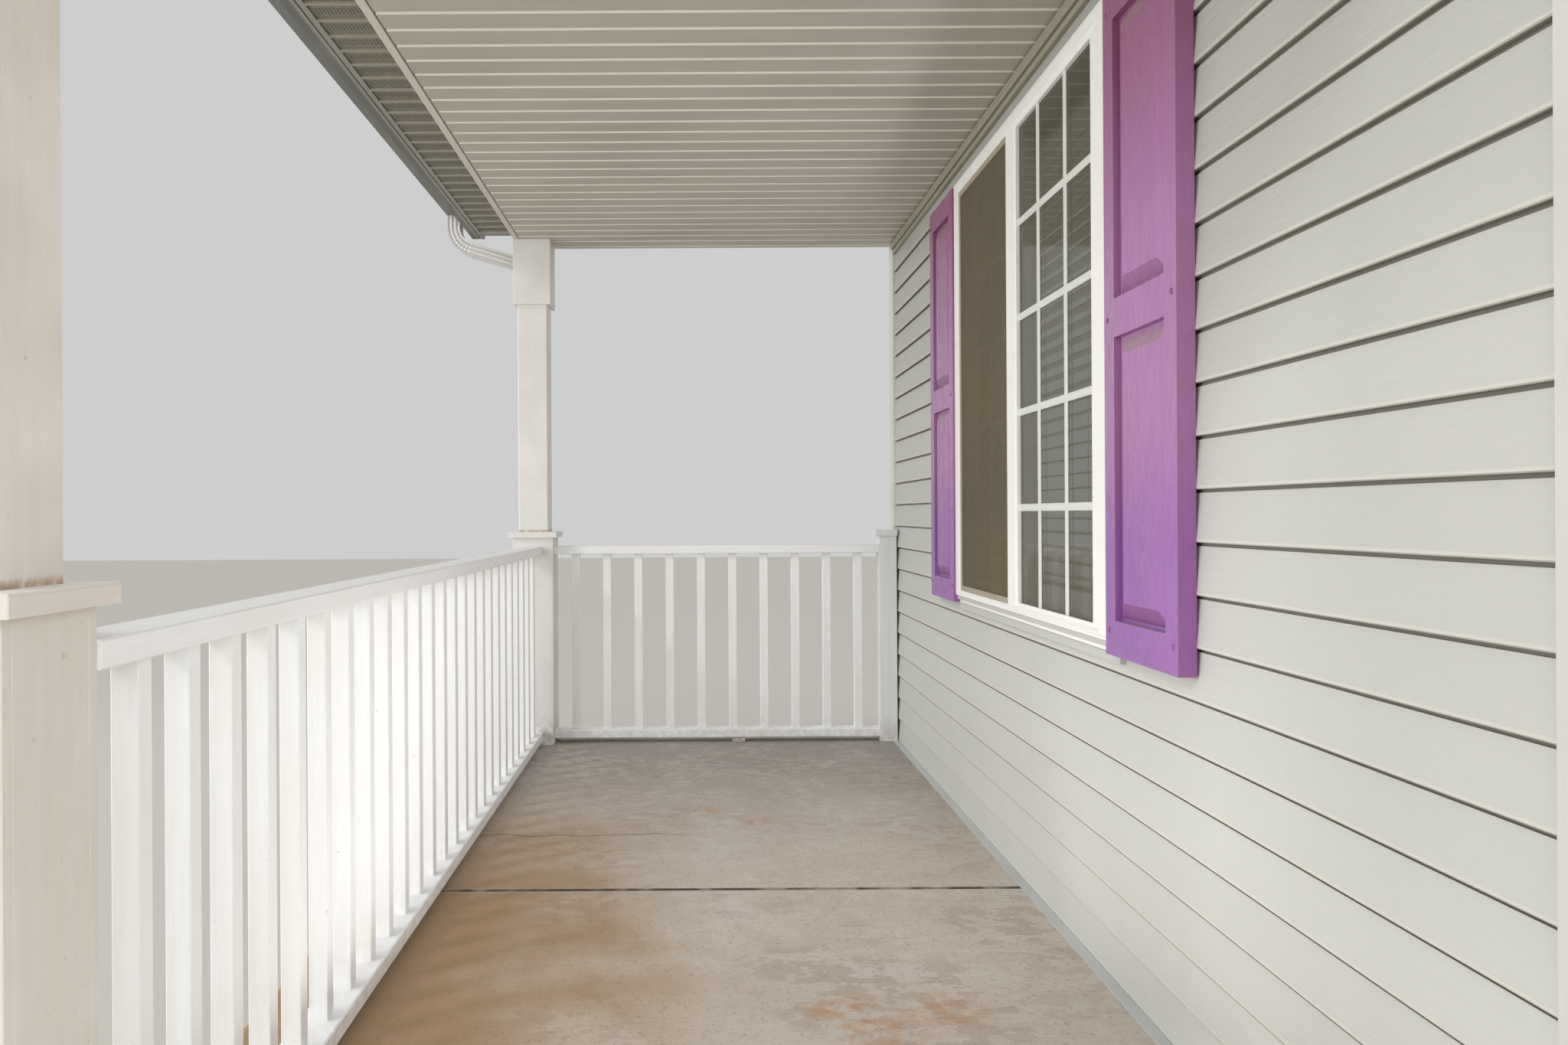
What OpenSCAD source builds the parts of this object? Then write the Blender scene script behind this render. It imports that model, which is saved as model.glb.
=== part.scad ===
// Front porch of a house: one railed bay between two boxed posts, with its
// concrete slab, the wall behind it and the lean-to roof over it. x runs along the
// porch to the open end, y from the yard to the house, z up from the slab.

/* [Porch] */
// Distance between the centres of the two front posts
bay = 4108; // [3000:2:5200]
// Distance from the corner post's centre to the wall behind the siding
porch_depth = 1738; // [1400:2:2400]
// Height of the ceiling over the slab
ceiling_h = 2380; // [2300:10:2800]
// Height of the slab over the ground
step_h = 190; // [120:5:300]
// How far slab, wall and roof run on past the last post's centre
open_run = 122; // [116:2:400]
// How far the slab reaches past the corner post's centre, towards the yard
slab_front = 200; // [180:5:320]
// Where the joint between the two slab panels lies, from the corner post
slab_joint = 2140; // [800:10:2600]

/* [Posts] */
// Width of the square post shafts
shaft_w = 140; // [100:2:160]
// Outer width of the boxed sleeve round a post's foot
sleeve_w = 190; // [170:2:230]
// Height of the sleeve
sleeve_h = 975; // [800:5:1100]
// How far the cap plate overhangs the sleeve
cap_over = 20; // [8:1:22]
// Thickness of the cap plate
cap_t = 27; // [15:1:40]
// Outer width of the boxed capital
capital_w = 176; // [164:2:200]
// Height of the capital
capital_h = 305; // [150:5:400]
// How much farther out the last post stands than the corner post
near_post_out = 56; // [0:1:60]
// Width of the half post against the wall
wall_post_w = 84; // [70:1:100]

/* [Railing] */
// Height of the top of the railing over the slab
rail_top = 932; // [800:2:960]
// Width of the flat rails
rail_w = 89; // [70:1:110]
// Thickness of the flat rails
rail_t = 38; // [30:1:50]
// Width of the square balusters
baluster_w = 38; // [28:1:50]
// Spacing of the front balusters
front_pitch = 152.4; // [100:0.2:180]
// Distance from the corner post's sleeve to the middle of the first front baluster
front_first = 101.2; // [60:0.2:140]
// Spacing of the end balusters
end_pitch = 149.5; // [100:0.5:180]
// Gap under the bottom rail
rail_gap = 22; // [15:1:60]

/* [Wall] */
// Thickness of the wall behind the siding
wall_t = 114; // [100:1:200]
// Height of a siding course
course_h = 101.6; // [80:0.2:130]
// Thickness of a siding course at its lower edge
butt_t = 14; // [8:1:18]
// Width of the corner trim and how far it stands off the wall
corner_w = 103; // [80:1:120]
// Thickness of the corner trim and the door casing
trim_t = 19; // [16:1:25]
// Width of the door casing at the open end
casing_w = 92; // [60:1:110]

/* [Window] */
// Width of the window frame
window_w = 1485; // [1000:5:1800]
// Height of the window frame
window_h = 1455; // [1000:5:1470]
// Height of the frame's lower edge over the slab
window_sill_z = 790; // [785:1:800]
// Middle of the window, measured from the corner post
window_mid = 2107; // [1500:1:2400]
// Width of the frame's face at both sides
frame_w = 60; // [40:1:80]
// Height of the frame's face at the head
frame_head = 40; // [30:1:60]
// Height of the frame's face at the foot
frame_foot = 18; // [16:1:40]
// How far the frame stands out from the wall
frame_out = 44; // [30:1:60]
// Width of the stile where the two halves meet
meeting_w = 91; // [60:1:100]
// Share of the width that the screened half takes
screen_part = 673; // [450:1:800]

/* [Shutters] */
// Width of a shutter
shutter_w = 380; // [250:5:450]
// Height of a shutter
shutter_h = 1477; // [1200:1:1480]
// Thickness of a shutter
shutter_t = 36; // [25:1:45]
// Height of the shutters' lower edge over the slab
shutter_z = 763; // [740:1:780]
// Gap between shutter and window frame
shutter_gap = 4; // [2:1:30]

/* [Roof] */
// How far the fascia's back stands out from the post line
eave_out = 270; // [200:5:500]
// Pitch of the roof, as rise over run
roof_pitch = 0.3333; // [0.2:0.01:0.5]
// How much higher the eave soffit lies than the ceiling
eave_step = 69; // [30:1:90]
// Height of the fascia board
fascia_h = 240; // [230:5:320]
// Depth of the rafters
rafter_h = 140; // [120:5:184]
// How far the roof runs past the end frieze
roof_over = 78; // [72:1:120]
// Spacing of the rafters
rafter_pitch = 610; // [400:5:700]

/* [Gutter and downspout] */
// Width of the gutter at its lip
gutter_w = 150; // [120:1:160]
// Width of the gutter's flat foot
gutter_foot = 112; // [90:1:115]
// Height of the gutter
gutter_h = 105; // [90:1:120]
// Width of the downspout, along the porch
pipe_wide = 83; // [60:1:90]
// Depth of the downspout, across the porch
pipe_deep = 60; // [40:1:70]
// Radius of the downspout's elbows, at the middle of the pipe
elbow_r = 110; // [80:1:130]
// Angle that the upper elbows turn through
elbow_a = 73; // [45:1:75]

/* [Hidden] */
$fn = 48;

// Faces that several pieces share
board_t = 24;
frieze_in = -60;
frieze_out = frieze_in - board_t;
ceiling_t = 12;
beam_z = ceiling_h + ceiling_t;
far_in = -capital_w / 2;
far_out = far_in - board_t;
near_x = bay + open_run;
slab_far = -sleeve_w / 2 - 2;
siding_y = porch_depth - butt_t;
wall_back = porch_depth + wall_t;

// Window faces
win_x0 = window_mid - window_w / 2;
win_x1 = window_mid + window_w / 2;
win_z0 = window_sill_z;
win_z1 = window_sill_z + window_h;
fin = 12;
face_y = porch_depth - frame_out;
frame_back = porch_depth + 60;
stile_x0 = win_x0 + screen_part;
stile_x1 = stile_x0 + meeting_w;
pane_x0 = win_x0 + frame_w;
pane_x1 = win_x1 - frame_w;
pane_z0 = win_z0 + frame_foot;
pane_z1 = win_z1 - frame_head;
sill_drop = 50;
sill_over = 25;
sill_strip = 22;

// Roof lines: rafter_top(y) is the height of the rafters' upper edge
eave_y = -eave_out;
fascia_t = 60;
rake_t = 20;
fascia_z0 = ceiling_h + eave_step;
fascia_z1 = fascia_z0 + fascia_h;
eave_top = fascia_z1 - 16;
function rafter_top(y) = eave_top + (y - eave_y) * roof_pitch;
slope = atan(roof_pitch);
rafter_drop = rafter_h / cos(slope);
deck_t = 17;
shingle_lap = 143;
shingle_butt = 9;
shingle_thin = 3;
shingle_over = 18;
roof_far = far_out - roof_over;
wall_top = rafter_top(porch_depth) + 125;
beam_top = rafter_top(frieze_in) - rafter_drop + 21;
beam_in = shaft_w / 2;

// Channel where the ceiling meets the wall
channel_h = 61;
siding_top = ceiling_h - channel_h;

// Gutter and downspout
sheet_t = 2;
gutter_z = eave_top - gutter_h - 18;
gutter_y = eave_y - fascia_t;
pipe_x = -(sleeve_w / 2 + cap_over + 3 + pipe_wide / 2);
pipe_y = 0;
outlet_y = gutter_y - gutter_foot + pipe_deep / 2 + 3;
outlet_drop = 57;
shoe_a = 60;
shoe_run = 50;
shoe_lift = 15;

// The whole porch stands centred over its frame's origin, on the ground
min_x = roof_far - rake_t - 5;
mid_x = (near_x + min_x) / 2;
inner_trim_t = 14;
mid_y = (wall_back + inner_trim_t + gutter_y - gutter_w) / 2;

module placed() {
    translate([-mid_x, -mid_y, step_h]) children();
}

module block(x0, x1, y0, y1, z0, z1) {
    translate([x0, y0, z0]) cube([x1 - x0, y1 - y0, z1 - z0]);
}

// An outline in (y, z), carried along x from x0 to x1
module along_x(x0, x1) {
    translate([x0, 0, 0]) rotate([90, 0, 90]) linear_extrude(x1 - x0) children();
}

// An outline in (x, z), carried along y from y0 to y1
module along_y(y0, y1) {
    translate([0, y1, 0]) rotate([90, 0, 0]) linear_extrude(y1 - y0) children();
}

// A rectangle from (0, 0) to (w, h) with its corners cut off
module eased(w, h, cut) {
    polygon([
        [cut, 0], [w - cut, 0], [w, cut], [w, h - cut],
        [w - cut, h], [cut, h], [0, h - cut], [0, cut]
    ]);
}

module square_tube(outer, inner, h) {
    linear_extrude(h) difference() {
        translate([-outer / 2, -outer / 2]) eased(outer, outer, 1.5);
        square(inner, center = true);
    }
}

// A tube of four boards: the seams show as fine grooves in the faces across y
module boxed_tube(outer, inner, h, board) {
    seam = 2;
    linear_extrude(h) difference() {
        translate([-outer / 2, -outer / 2]) eased(outer, outer, 1.5);
        square(inner, center = true);
        for (sx = [-1, 1], sy = [-1, 1])
            translate([sx * (outer / 2 - board), sy * outer / 2]) rotate(45)
                square(seam, center = true);
    }
}

// Slab and foundation

module slab_panel(x0, x1) {
    edge = 8;
    intersection() {
        along_y(-slab_front, porch_depth) polygon([
            [x0, -step_h], [x1, -step_h], [x1, -edge], [x1 - edge, 0],
            [x0 + edge, 0], [x0, -edge]
        ]);
        along_x(x0, x1) polygon([
            [-slab_front, -step_h], [porch_depth, -step_h], [porch_depth, 0],
            [-slab_front + 2 * edge, 0], [-slab_front + edge / 2, -edge / 2],
            [-slab_front, -2 * edge]
        ]);
    }
}

module porch_slab() {
    joint_w = 5;
    color("#9b9186") {
        slab_panel(slab_far, slab_joint - joint_w / 2);
        slab_panel(slab_joint + joint_w / 2, near_x);
    }
}

module foundation_wall() {
    color("#8f8a82") block(far_out, near_x, porch_depth, wall_back, -step_h, 0);
}

// House wall, with the window cut through it

module house_wall_far() {
    color("#d8d4ca") block(far_out, win_x0 + fin, porch_depth, wall_back, 0, wall_top);
}

module house_wall_near() {
    color("#d8d4ca") block(win_x1 - fin, near_x, porch_depth, wall_back, 0, wall_top);
}

module house_wall_below() {
    color("#d8d4ca") block(win_x0 + fin, win_x1 - fin, porch_depth, wall_back, 0, win_z0 + fin);
}

module house_wall_above() {
    color("#d8d4ca")
        block(win_x0 + fin, win_x1 - fin, porch_depth, wall_back, win_z1 - fin, wall_top);
}

// Lapped siding: each course is thick at its lower edge and thin at its upper one

base_h = 5;
thin_t = 6;
slot_h = 6.5;
slot_t = 1.5;
courses = ceil((siding_top - base_h) / course_h);

// One course: its thick edge, its face, and the slot under the next course's edge
function course_outline(i) = let (z = base_h + i * course_h) [
    [-butt_t + 1.5, z], [-butt_t, z + 2], [-butt_t, z + 6],
    [-thin_t, z + course_h - slot_h], [-slot_t, z + course_h - slot_h],
    [-slot_t, z + course_h]
];

function siding_outline() = concat(
    [[0, base_h]],
    [for (i = [0:courses - 1]) each course_outline(i)],
    [[0, base_h + courses * course_h]]
);

module window_cut() {
    block(win_x0, win_x1, face_y - 50, wall_back, win_z0 - 1, win_z1);
    block(win_x0 - sill_over, win_x1 + sill_over, face_y - 50, wall_back,
        win_z0 - sill_drop, win_z0 - sill_drop + sill_strip);
    block(win_x0, win_x1, face_y - 50, wall_back, win_z0 - sill_drop, win_z0);
}

module siding_run(x0, x1, z0, z1) {
    color("#c4c6c0") difference() {
        intersection() {
            translate([0, porch_depth, 0]) along_x(x0, x1) polygon(siding_outline());
            block(x0, x1, porch_depth - 2 * butt_t, porch_depth, z0, z1);
        }
        window_cut();
    }
}

corner_x1 = far_out - trim_t + corner_w;
casing_x0 = near_x - casing_w;

module siding_far() {
    siding_run(corner_x1, win_x0, base_h, siding_top);
}

module siding_near() {
    siding_run(win_x1, casing_x0, base_h, siding_top);
}

module siding_below() {
    siding_run(win_x0, win_x1, base_h, win_z0);
}

module siding_above() {
    siding_run(win_x0, win_x1, win_z1, siding_top);
}

// A low ledge on the slab in front of the first course, from the half post on
module siding_base_trim() {
    reach = 27;
    color("#c3c7ca") along_x(rail_w / 2, casing_x0) polygon([
        [porch_depth, 0], [siding_y - reach, 0], [siding_y - reach, 3],
        [siding_y, base_h], [porch_depth, base_h]
    ]);
}

module ceiling_wall_channel() {
    upper = 34;
    gap = 6;
    color("#b9b5aa") along_x(corner_x1, casing_x0) polygon([
        [porch_depth, siding_top], [porch_depth - 5, siding_top],
        [porch_depth - 5, siding_top + gap],
        [siding_y - 5, siding_top + gap], [siding_y - 7, siding_top + gap + 2],
        [siding_y - 7, ceiling_h - upper - gap], [siding_y + 3, ceiling_h - upper - gap],
        [siding_y + 3, ceiling_h - upper], [siding_y - 13, ceiling_h - upper],
        [siding_y - 15, ceiling_h - upper + 2], [siding_y - 15, ceiling_h - gap],
        [siding_y - 3, ceiling_h - gap], [siding_y - 3, ceiling_h], [porch_depth, ceiling_h]
    ]);
}

module wall_corner_trim() {
    color("#ece8dd") {
        block(far_out - trim_t, corner_x1, porch_depth - trim_t, porch_depth, 0, ceiling_h);
        block(far_out - trim_t, far_out, porch_depth, porch_depth + corner_w - trim_t,
            -step_h / 3, wall_top);
    }
}

module door_casing() {
    color("#ece8dd")
        block(casing_x0, near_x, porch_depth - trim_t, porch_depth, 0, ceiling_h);
}

// Slider window

// A shallow ring cut into the frame's face, a distance in from its outer edge
module face_groove(inset) {
    wide = 3;
    deep = 2;
    difference() {
        block(win_x0 + inset, win_x1 - inset, face_y - 1, face_y + deep,
            win_z0 + inset, win_z1 - inset);
        block(win_x0 + inset + wide, win_x1 - inset - wide, face_y - 2, face_y + deep + 1,
            win_z0 + inset + wide, win_z1 - inset - wide);
    }
}

module window_frame() {
    step = 5;
    color("#ece8dd") difference() {
        union() {
            block(win_x0, win_x1, face_y, porch_depth, win_z0, win_z1);
            block(win_x0 + fin, win_x1 - fin, porch_depth, frame_back,
                win_z0 + fin, win_z1 - fin);
        }
        block(pane_x0, pane_x1, face_y - 1, frame_back + 1, pane_z0, pane_z1);
        block(pane_x0 - step, pane_x1 + step, face_y - 1, face_y + 2,
            pane_z0 - step, pane_z1 + step);
        face_groove(6);
    }
}

bead_w = 46;
rail_face = 12;
sash_front = face_y + 4;
sash_back = sash_front + 26;
glass_t = 6;
lip_x1 = stile_x1 - 19;

// The meeting stile's outer part lies flush with the frame, its bead farther back
module fixed_sash() {
    color("#f0ede4") {
        difference() {
            block(stile_x0, pane_x1, sash_front, sash_back, pane_z0, pane_z1);
            block(stile_x1, pane_x1 - bead_w, sash_front - 1, sash_back + 1,
                pane_z0 + rail_face, pane_z1 - rail_face);
        }
        block(stile_x0, lip_x1, face_y, sash_front, pane_z0, pane_z1);
    }
}

slide_front = porch_depth + 8;
slide_back = slide_front + 24;
slide_face = 42;
slide_x1 = stile_x0 + slide_face;

module sliding_sash() {
    color("#f0ede4") difference() {
        block(pane_x0, slide_x1, slide_front, slide_back, pane_z0, pane_z1);
        block(pane_x0 + slide_face, slide_x1 - slide_face, slide_front - 1, slide_back + 1,
            pane_z0 + slide_face, pane_z1 - slide_face);
    }
}

module window_glass() {
    color("#9fb0b4", 0.4) {
        block(stile_x1, pane_x1 - bead_w, sash_front + 10, sash_front + 10 + glass_t,
            pane_z0 + rail_face, pane_z1 - rail_face);
        block(pane_x0 + slide_face, slide_x1 - slide_face, slide_front + 9,
            slide_front + 9 + glass_t, pane_z0 + slide_face, pane_z1 - slide_face);
    }
}

screen_front = face_y + 4;
screen_t = 8;
screen_bar = 18;
mesh_t = 1;

module screen_frame() {
    color("#5f584a") difference() {
        block(pane_x0, stile_x0, screen_front, screen_front + screen_t, pane_z0, pane_z1);
        block(pane_x0 + screen_bar, stile_x0 - screen_bar, screen_front - 1,
            screen_front + screen_t + 1, pane_z0 + screen_bar, pane_z1 - screen_bar);
    }
}

module screen_mesh() {
    color("#4b4a44") block(pane_x0 + screen_bar, stile_x0 - screen_bar, screen_front + 3,
        screen_front + 3 + mesh_t, pane_z0 + screen_bar, pane_z1 - screen_bar);
}

module window_sill() {
    color("#e6e4dc") {
        block(win_x0, win_x1, face_y + 6, porch_depth, win_z0 - 16, win_z0);
        block(win_x0, win_x1, face_y + 15, porch_depth,
            win_z0 - sill_drop + sill_strip, win_z0 - 16);
        block(win_x0 - sill_over, win_x1 + sill_over, face_y + 18, porch_depth,
            win_z0 - sill_drop, win_z0 - sill_drop + sill_strip);
    }
}

module blind_head_rail() {
    color("#f2f0ea") block(pane_x0, pane_x1, frame_back + 4, frame_back + 50,
        win_z1 - fin - 42, win_z1 - fin);
}

module window_inner_trim() {
    inner_w = 62;
    color("#efece4") difference() {
        block(win_x0 + fin - inner_w, win_x1 - fin + inner_w, wall_back,
            wall_back + inner_trim_t, win_z0 + fin - inner_w, win_z1 - fin + inner_w);
        block(win_x0 + fin, win_x1 - fin, wall_back - 1, wall_back + inner_trim_t + 1,
            win_z0 + fin, win_z1 - fin);
    }
}

// Shutters with raised panels

stile_w = 58;
shutter_rail = 78;
mid_rail_z = 743;
mid_rail = 85;
recess = 16;

// A flat field that rises from a deep groove with bevelled sides
module raised_field(w, h) {
    groove = 7;
    bevel = 34;
    low = shutter_t - recess;
    high = shutter_t - 3;
    intersection() {
        linear_extrude(h) polygon([
            [groove, 0], [w - groove, 0], [w - groove, -low],
            [w - groove - bevel, -high], [groove + bevel, -high], [groove, -low]
        ]);
        rotate([0, 90, 0]) linear_extrude(w) polygon([
            [-groove, 0], [-h + groove, 0], [-h + groove, -low],
            [-h + groove + bevel, -high], [-groove - bevel, -high], [-groove, -low]
        ]);
    }
}

module shutter_panel_cut(w, h) {
    translate([0, -shutter_t - 1, 0]) cube([w, recess + 1, h]);
}

module shutter(x0) {
    field_w = shutter_w - 2 * stile_w;
    low_h = mid_rail_z - mid_rail / 2 - shutter_rail;
    high_z = mid_rail_z + mid_rail / 2;
    high_h = shutter_h - shutter_rail - high_z;
    color("#8e4f9e") translate([x0, siding_y, shutter_z]) {
        difference() {
            translate([0, -shutter_t, 0]) cube([shutter_w, shutter_t, shutter_h]);
            translate([stile_w, 0, shutter_rail]) shutter_panel_cut(field_w, low_h);
            translate([stile_w, 0, high_z]) shutter_panel_cut(field_w, high_h);
        }
        translate([stile_w, 0, shutter_rail]) raised_field(field_w, low_h);
        translate([stile_w, 0, high_z]) raised_field(field_w, high_h);
    }
}

module shutter_far() {
    shutter(win_x0 - shutter_gap - shutter_w);
}

module shutter_near() {
    shutter(win_x1 + shutter_gap);
}

// Boxed posts. The shaft runs up through the ceiling to the beam.

module post_shaft(x, y) {
    color("#eceae6") {
        translate([x - shaft_w / 2, y - shaft_w / 2, 0])
            linear_extrude(ceiling_h) eased(shaft_w, shaft_w, 4);
        block(x - shaft_w / 2 + 4, x + shaft_w / 2 - 4, frieze_in, y + shaft_w / 2 - 4,
            ceiling_h, beam_z);
    }
}

module post_sleeve(x, y) {
    color("#eceae6") translate([x, y, 0]) boxed_tube(sleeve_w, shaft_w, sleeve_h, 19);
}

module post_cap(x, y) {
    wide = sleeve_w + 2 * cap_over;
    edge = 4;
    color("#f2f0ec") translate([x, y, sleeve_h]) {
        square_tube(wide, shaft_w, cap_t - edge);
        translate([0, 0, cap_t - edge]) square_tube(wide - 3, shaft_w, edge);
    }
}

module post_capital(x, y) {
    color("#eceae6") translate([x, y, ceiling_h - capital_h])
        boxed_tube(capital_w, shaft_w, capital_h, 16);
}

module corner_post_shaft() { post_shaft(0, 0); }
module corner_post_sleeve() { post_sleeve(0, 0); }
module corner_post_cap() { post_cap(0, 0); }
module corner_post_capital() { post_capital(0, 0); }
module near_post_shaft() { post_shaft(bay, -near_post_out); }
module near_post_sleeve() { post_sleeve(bay, -near_post_out); }
module near_post_cap() { post_cap(bay, -near_post_out); }
module near_post_capital() { post_capital(bay, -near_post_out); }

wall_post_y1 = porch_depth - trim_t;
wall_post_y0 = wall_post_y1 - wall_post_w;

module wall_post() {
    color("#eceae6") translate([-rail_w / 2, wall_post_y0, 0]) linear_extrude(sleeve_h)
        difference() {
            eased(rail_w, wall_post_w, 2);
            translate([rail_w, wall_post_w * 0.55]) rotate(45) square(2, center = true);
        }
}

module wall_post_cap() {
    over = 17;
    color("#f2f0ec") block(-rail_w / 2 - over, rail_w / 2 + over, wall_post_y0 - over,
        wall_post_y1, sleeve_h, sleeve_h + cap_t);
}

// Railings: flat rails with square balusters between them

rail_inset = 60;
top_rail_z = rail_top - rail_t;
bottom_rail_z = rail_gap + rail_t;

function balusters(run, first, pitch) = floor((run - rail_inset - first) / pitch) + 1;

// The first baluster's place where the last one is to lie as far from its end
function evenly(run, pitch) =
    let (count = balusters(run, rail_inset, pitch)) (run - (count - 1) * pitch) / 2;

module flat_rail(run, z) {
    translate([0, -rail_w / 2, z]) rotate([90, 0, 90])
        linear_extrude(run) eased(rail_w, rail_t, 3);
}

// A railing along x from 0 to run
module railing(run, first, pitch) {
    color("#eceae6") {
        flat_rail(run, top_rail_z);
        flat_rail(run, rail_gap);
        for (i = [0:balusters(run, first, pitch) - 1])
            translate([first + i * pitch - baluster_w / 2, -baluster_w / 2, bottom_rail_z])
                linear_extrude(top_rail_z - bottom_rail_z) eased(baluster_w, baluster_w, 1.5);
    }
}

module front_railing() {
    translate([sleeve_w / 2, 0, 0]) railing(bay - sleeve_w, front_first, front_pitch);
}

module end_railing() {
    run = wall_post_y0 - sleeve_w / 2;
    translate([0, sleeve_w / 2, 0]) rotate([0, 0, 90])
        railing(run, evenly(run, end_pitch), end_pitch);
}

module rail_foot() {
    foot_w = 60;
    foot_y = (sleeve_w / 2 + wall_post_y0) / 2 + 70;
    color("#e4e0d8")
        block(-rail_w / 2 + 10, rail_w / 2 - 10, foot_y, foot_y + foot_w, 0, rail_gap);
}

// Ribbed panels: the porch's have V-grooves, the eave's have ridges that hang down.
// Both lie in line, counted from the inner face of the end frieze.

rib_pitch = 101.6;
rib_first = 23;
rib_w = 16;
rib_deep = 9;
ridge_w = 12;
ridge_deep = 6;

function rib_middles(x0, x1) = let (
    low = ceil((x0 + rib_w - far_in - rib_first) / rib_pitch),
    high = floor((x1 - rib_w - far_in - rib_first) / rib_pitch)
) [for (i = [low:high]) far_in + rib_first + i * rib_pitch];

function groove_outline(x) = [[x - rib_w / 2, 0], [x, rib_deep], [x + rib_w / 2, 0]];

function ridge_outline(x) = [
    [x - ridge_w / 2, ridge_deep], [x - ridge_w / 2 + 1, 0],
    [x + ridge_w / 2 - 1, 0], [x + ridge_w / 2, ridge_deep]
];

function grooved_outline(x0, x1) = concat(
    [[x0, 0]], [for (x = rib_middles(x0, x1)) each groove_outline(x)],
    [[x1, 0], [x1, ceiling_t], [x0, ceiling_t]]
);

function ridged_outline(x0, x1) = concat(
    [[x0, ridge_deep]], [for (x = rib_middles(x0, x1)) each ridge_outline(x)],
    [[x1, ridge_deep], [x1, ceiling_t], [x0, ceiling_t]]
);

module shaft_hole(x, y) {
    play = 1;
    block(x - shaft_w / 2 - play, x + shaft_w / 2 + play, y - shaft_w / 2 - play,
        y + shaft_w / 2 + play, ceiling_h - 1, beam_z + 1);
}

module porch_ceiling() {
    color("#a9a294") difference() {
        translate([0, 0, ceiling_h]) along_y(frieze_in, porch_depth)
            polygon(grooved_outline(far_in, near_x));
        shaft_hole(0, 0);
        shaft_hole(bay, -near_post_out);
    }
}

module eave_soffit() {
    color("#a39c8c") translate([0, 0, ceiling_h + eave_step])
        along_y(eave_y, frieze_out) polygon(ridged_outline(far_in, near_x - board_t));
}

frieze_top = ceiling_h + 140;

module frieze_board() {
    color("#b4ad9f") block(far_out, near_x, frieze_out, frieze_in, ceiling_h, frieze_top);
}

module end_frieze_board() {
    color("#b4ad9f")
        block(far_out, far_in, frieze_in, porch_depth, ceiling_h, frieze_top);
}

// Roof structure

module porch_beam() {
    color("#c9b48c") block(far_in, near_x - board_t, frieze_in, beam_in, beam_z, beam_top);
}

rafter_w = 38;

module rafter(x) {
    difference() {
        along_x(x - rafter_w / 2, x + rafter_w / 2) polygon([
            [eave_y, rafter_top(eave_y)], [eave_y, rafter_top(eave_y) - rafter_drop],
            [porch_depth, rafter_top(porch_depth) - rafter_drop],
            [porch_depth, rafter_top(porch_depth)]
        ]);
        block(x - rafter_w, x + rafter_w, frieze_out, beam_in, beam_z, beam_top);
    }
}

module roof_rafters() {
    first = far_in + rafter_w;
    last = near_x - board_t - rafter_w;
    count = ceil((last - first) / rafter_pitch);
    step = (last - first) / count;
    color("#c9b48c") for (i = [0:count]) rafter(first + i * step);
}

module roof_deck() {
    color("#b59a6c") along_x(roof_far, near_x) polygon([
        [gutter_y, rafter_top(gutter_y)], [porch_depth, rafter_top(porch_depth)],
        [porch_depth, rafter_top(porch_depth) + deck_t],
        [gutter_y, rafter_top(gutter_y) + deck_t]
    ]);
}

deck_run = (porch_depth - gutter_y) / cos(slope);
shingle_rows = ceil((deck_run + shingle_over) / shingle_lap);

function shingle_outline() = concat(
    [[-shingle_over, 0]],
    [for (i = [0:shingle_rows - 1]) let (s = i * shingle_lap - shingle_over) each
        [[s, shingle_butt], [s + shingle_lap, shingle_thin]]],
    [[shingle_rows * shingle_lap - shingle_over, 0]]
);

module roof_shingles() {
    color("#5b5650") intersection() {
        translate([0, gutter_y, rafter_top(gutter_y) + deck_t]) rotate([slope, 0, 0])
            along_x(roof_far - rake_t - 5, near_x) polygon(shingle_outline());
        block(roof_far - rake_t - 5, near_x, gutter_y - 2 * shingle_over, porch_depth,
            eave_top - 100, wall_top);
    }
}

module wall_flashing() {
    lap = 110;
    skin = 2;
    z = rafter_top(porch_depth) + deck_t + shingle_butt / cos(slope) + 1;
    color("#8f8f8c") along_x(far_out, near_x) polygon([
        [porch_depth - lap, z - lap * roof_pitch], [porch_depth - skin, z],
        [porch_depth, z], [porch_depth, wall_top], [porch_depth - skin, wall_top],
        [porch_depth - skin, z + skin + 1],
        [porch_depth - lap, z - lap * roof_pitch + skin]
    ]);
}

// The gables close the roof's ends, down to what carries them behind the frieze
function gable_outline(foot) = [
    [eave_y, ceiling_h + eave_step], [frieze_out, ceiling_h + eave_step],
    [frieze_out, frieze_top], [frieze_in, frieze_top], [frieze_in, foot],
    [porch_depth, foot], [porch_depth, rafter_top(porch_depth)],
    [eave_y, rafter_top(eave_y)]
];

module gable_far() {
    color("#c4c6c0") along_x(far_out, far_in) polygon(gable_outline(frieze_top));
}

module gable_near() {
    color("#c4c6c0") along_x(near_x - board_t, near_x) polygon(gable_outline(beam_z));
}

module rake_board() {
    rake_h = 140;
    color("#8f897c") along_x(roof_far - rake_t, roof_far) polygon([
        [gutter_y, rafter_top(gutter_y) + deck_t],
        [gutter_y, rafter_top(gutter_y) + deck_t - rake_h],
        [porch_depth, rafter_top(porch_depth) + deck_t - rake_h],
        [porch_depth, rafter_top(porch_depth) + deck_t]
    ]);
}

// Eave: fascia, gutter and downspout

// A slit in the underside parts the fascia from the soffit's edge strip
module fascia_board() {
    strip = 18;
    slit = 4;
    slit_deep = 6;
    color("#8f897c") along_x(roof_far, near_x) polygon([
        [gutter_y, fascia_z0], [eave_y - strip - slit, fascia_z0],
        [eave_y - strip - slit, fascia_z0 + slit_deep],
        [eave_y - strip, fascia_z0 + slit_deep], [eave_y - strip, fascia_z0],
        [eave_y, fascia_z0], [eave_y, rafter_top(eave_y)], [gutter_y, rafter_top(gutter_y)]
    ]);
}

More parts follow.
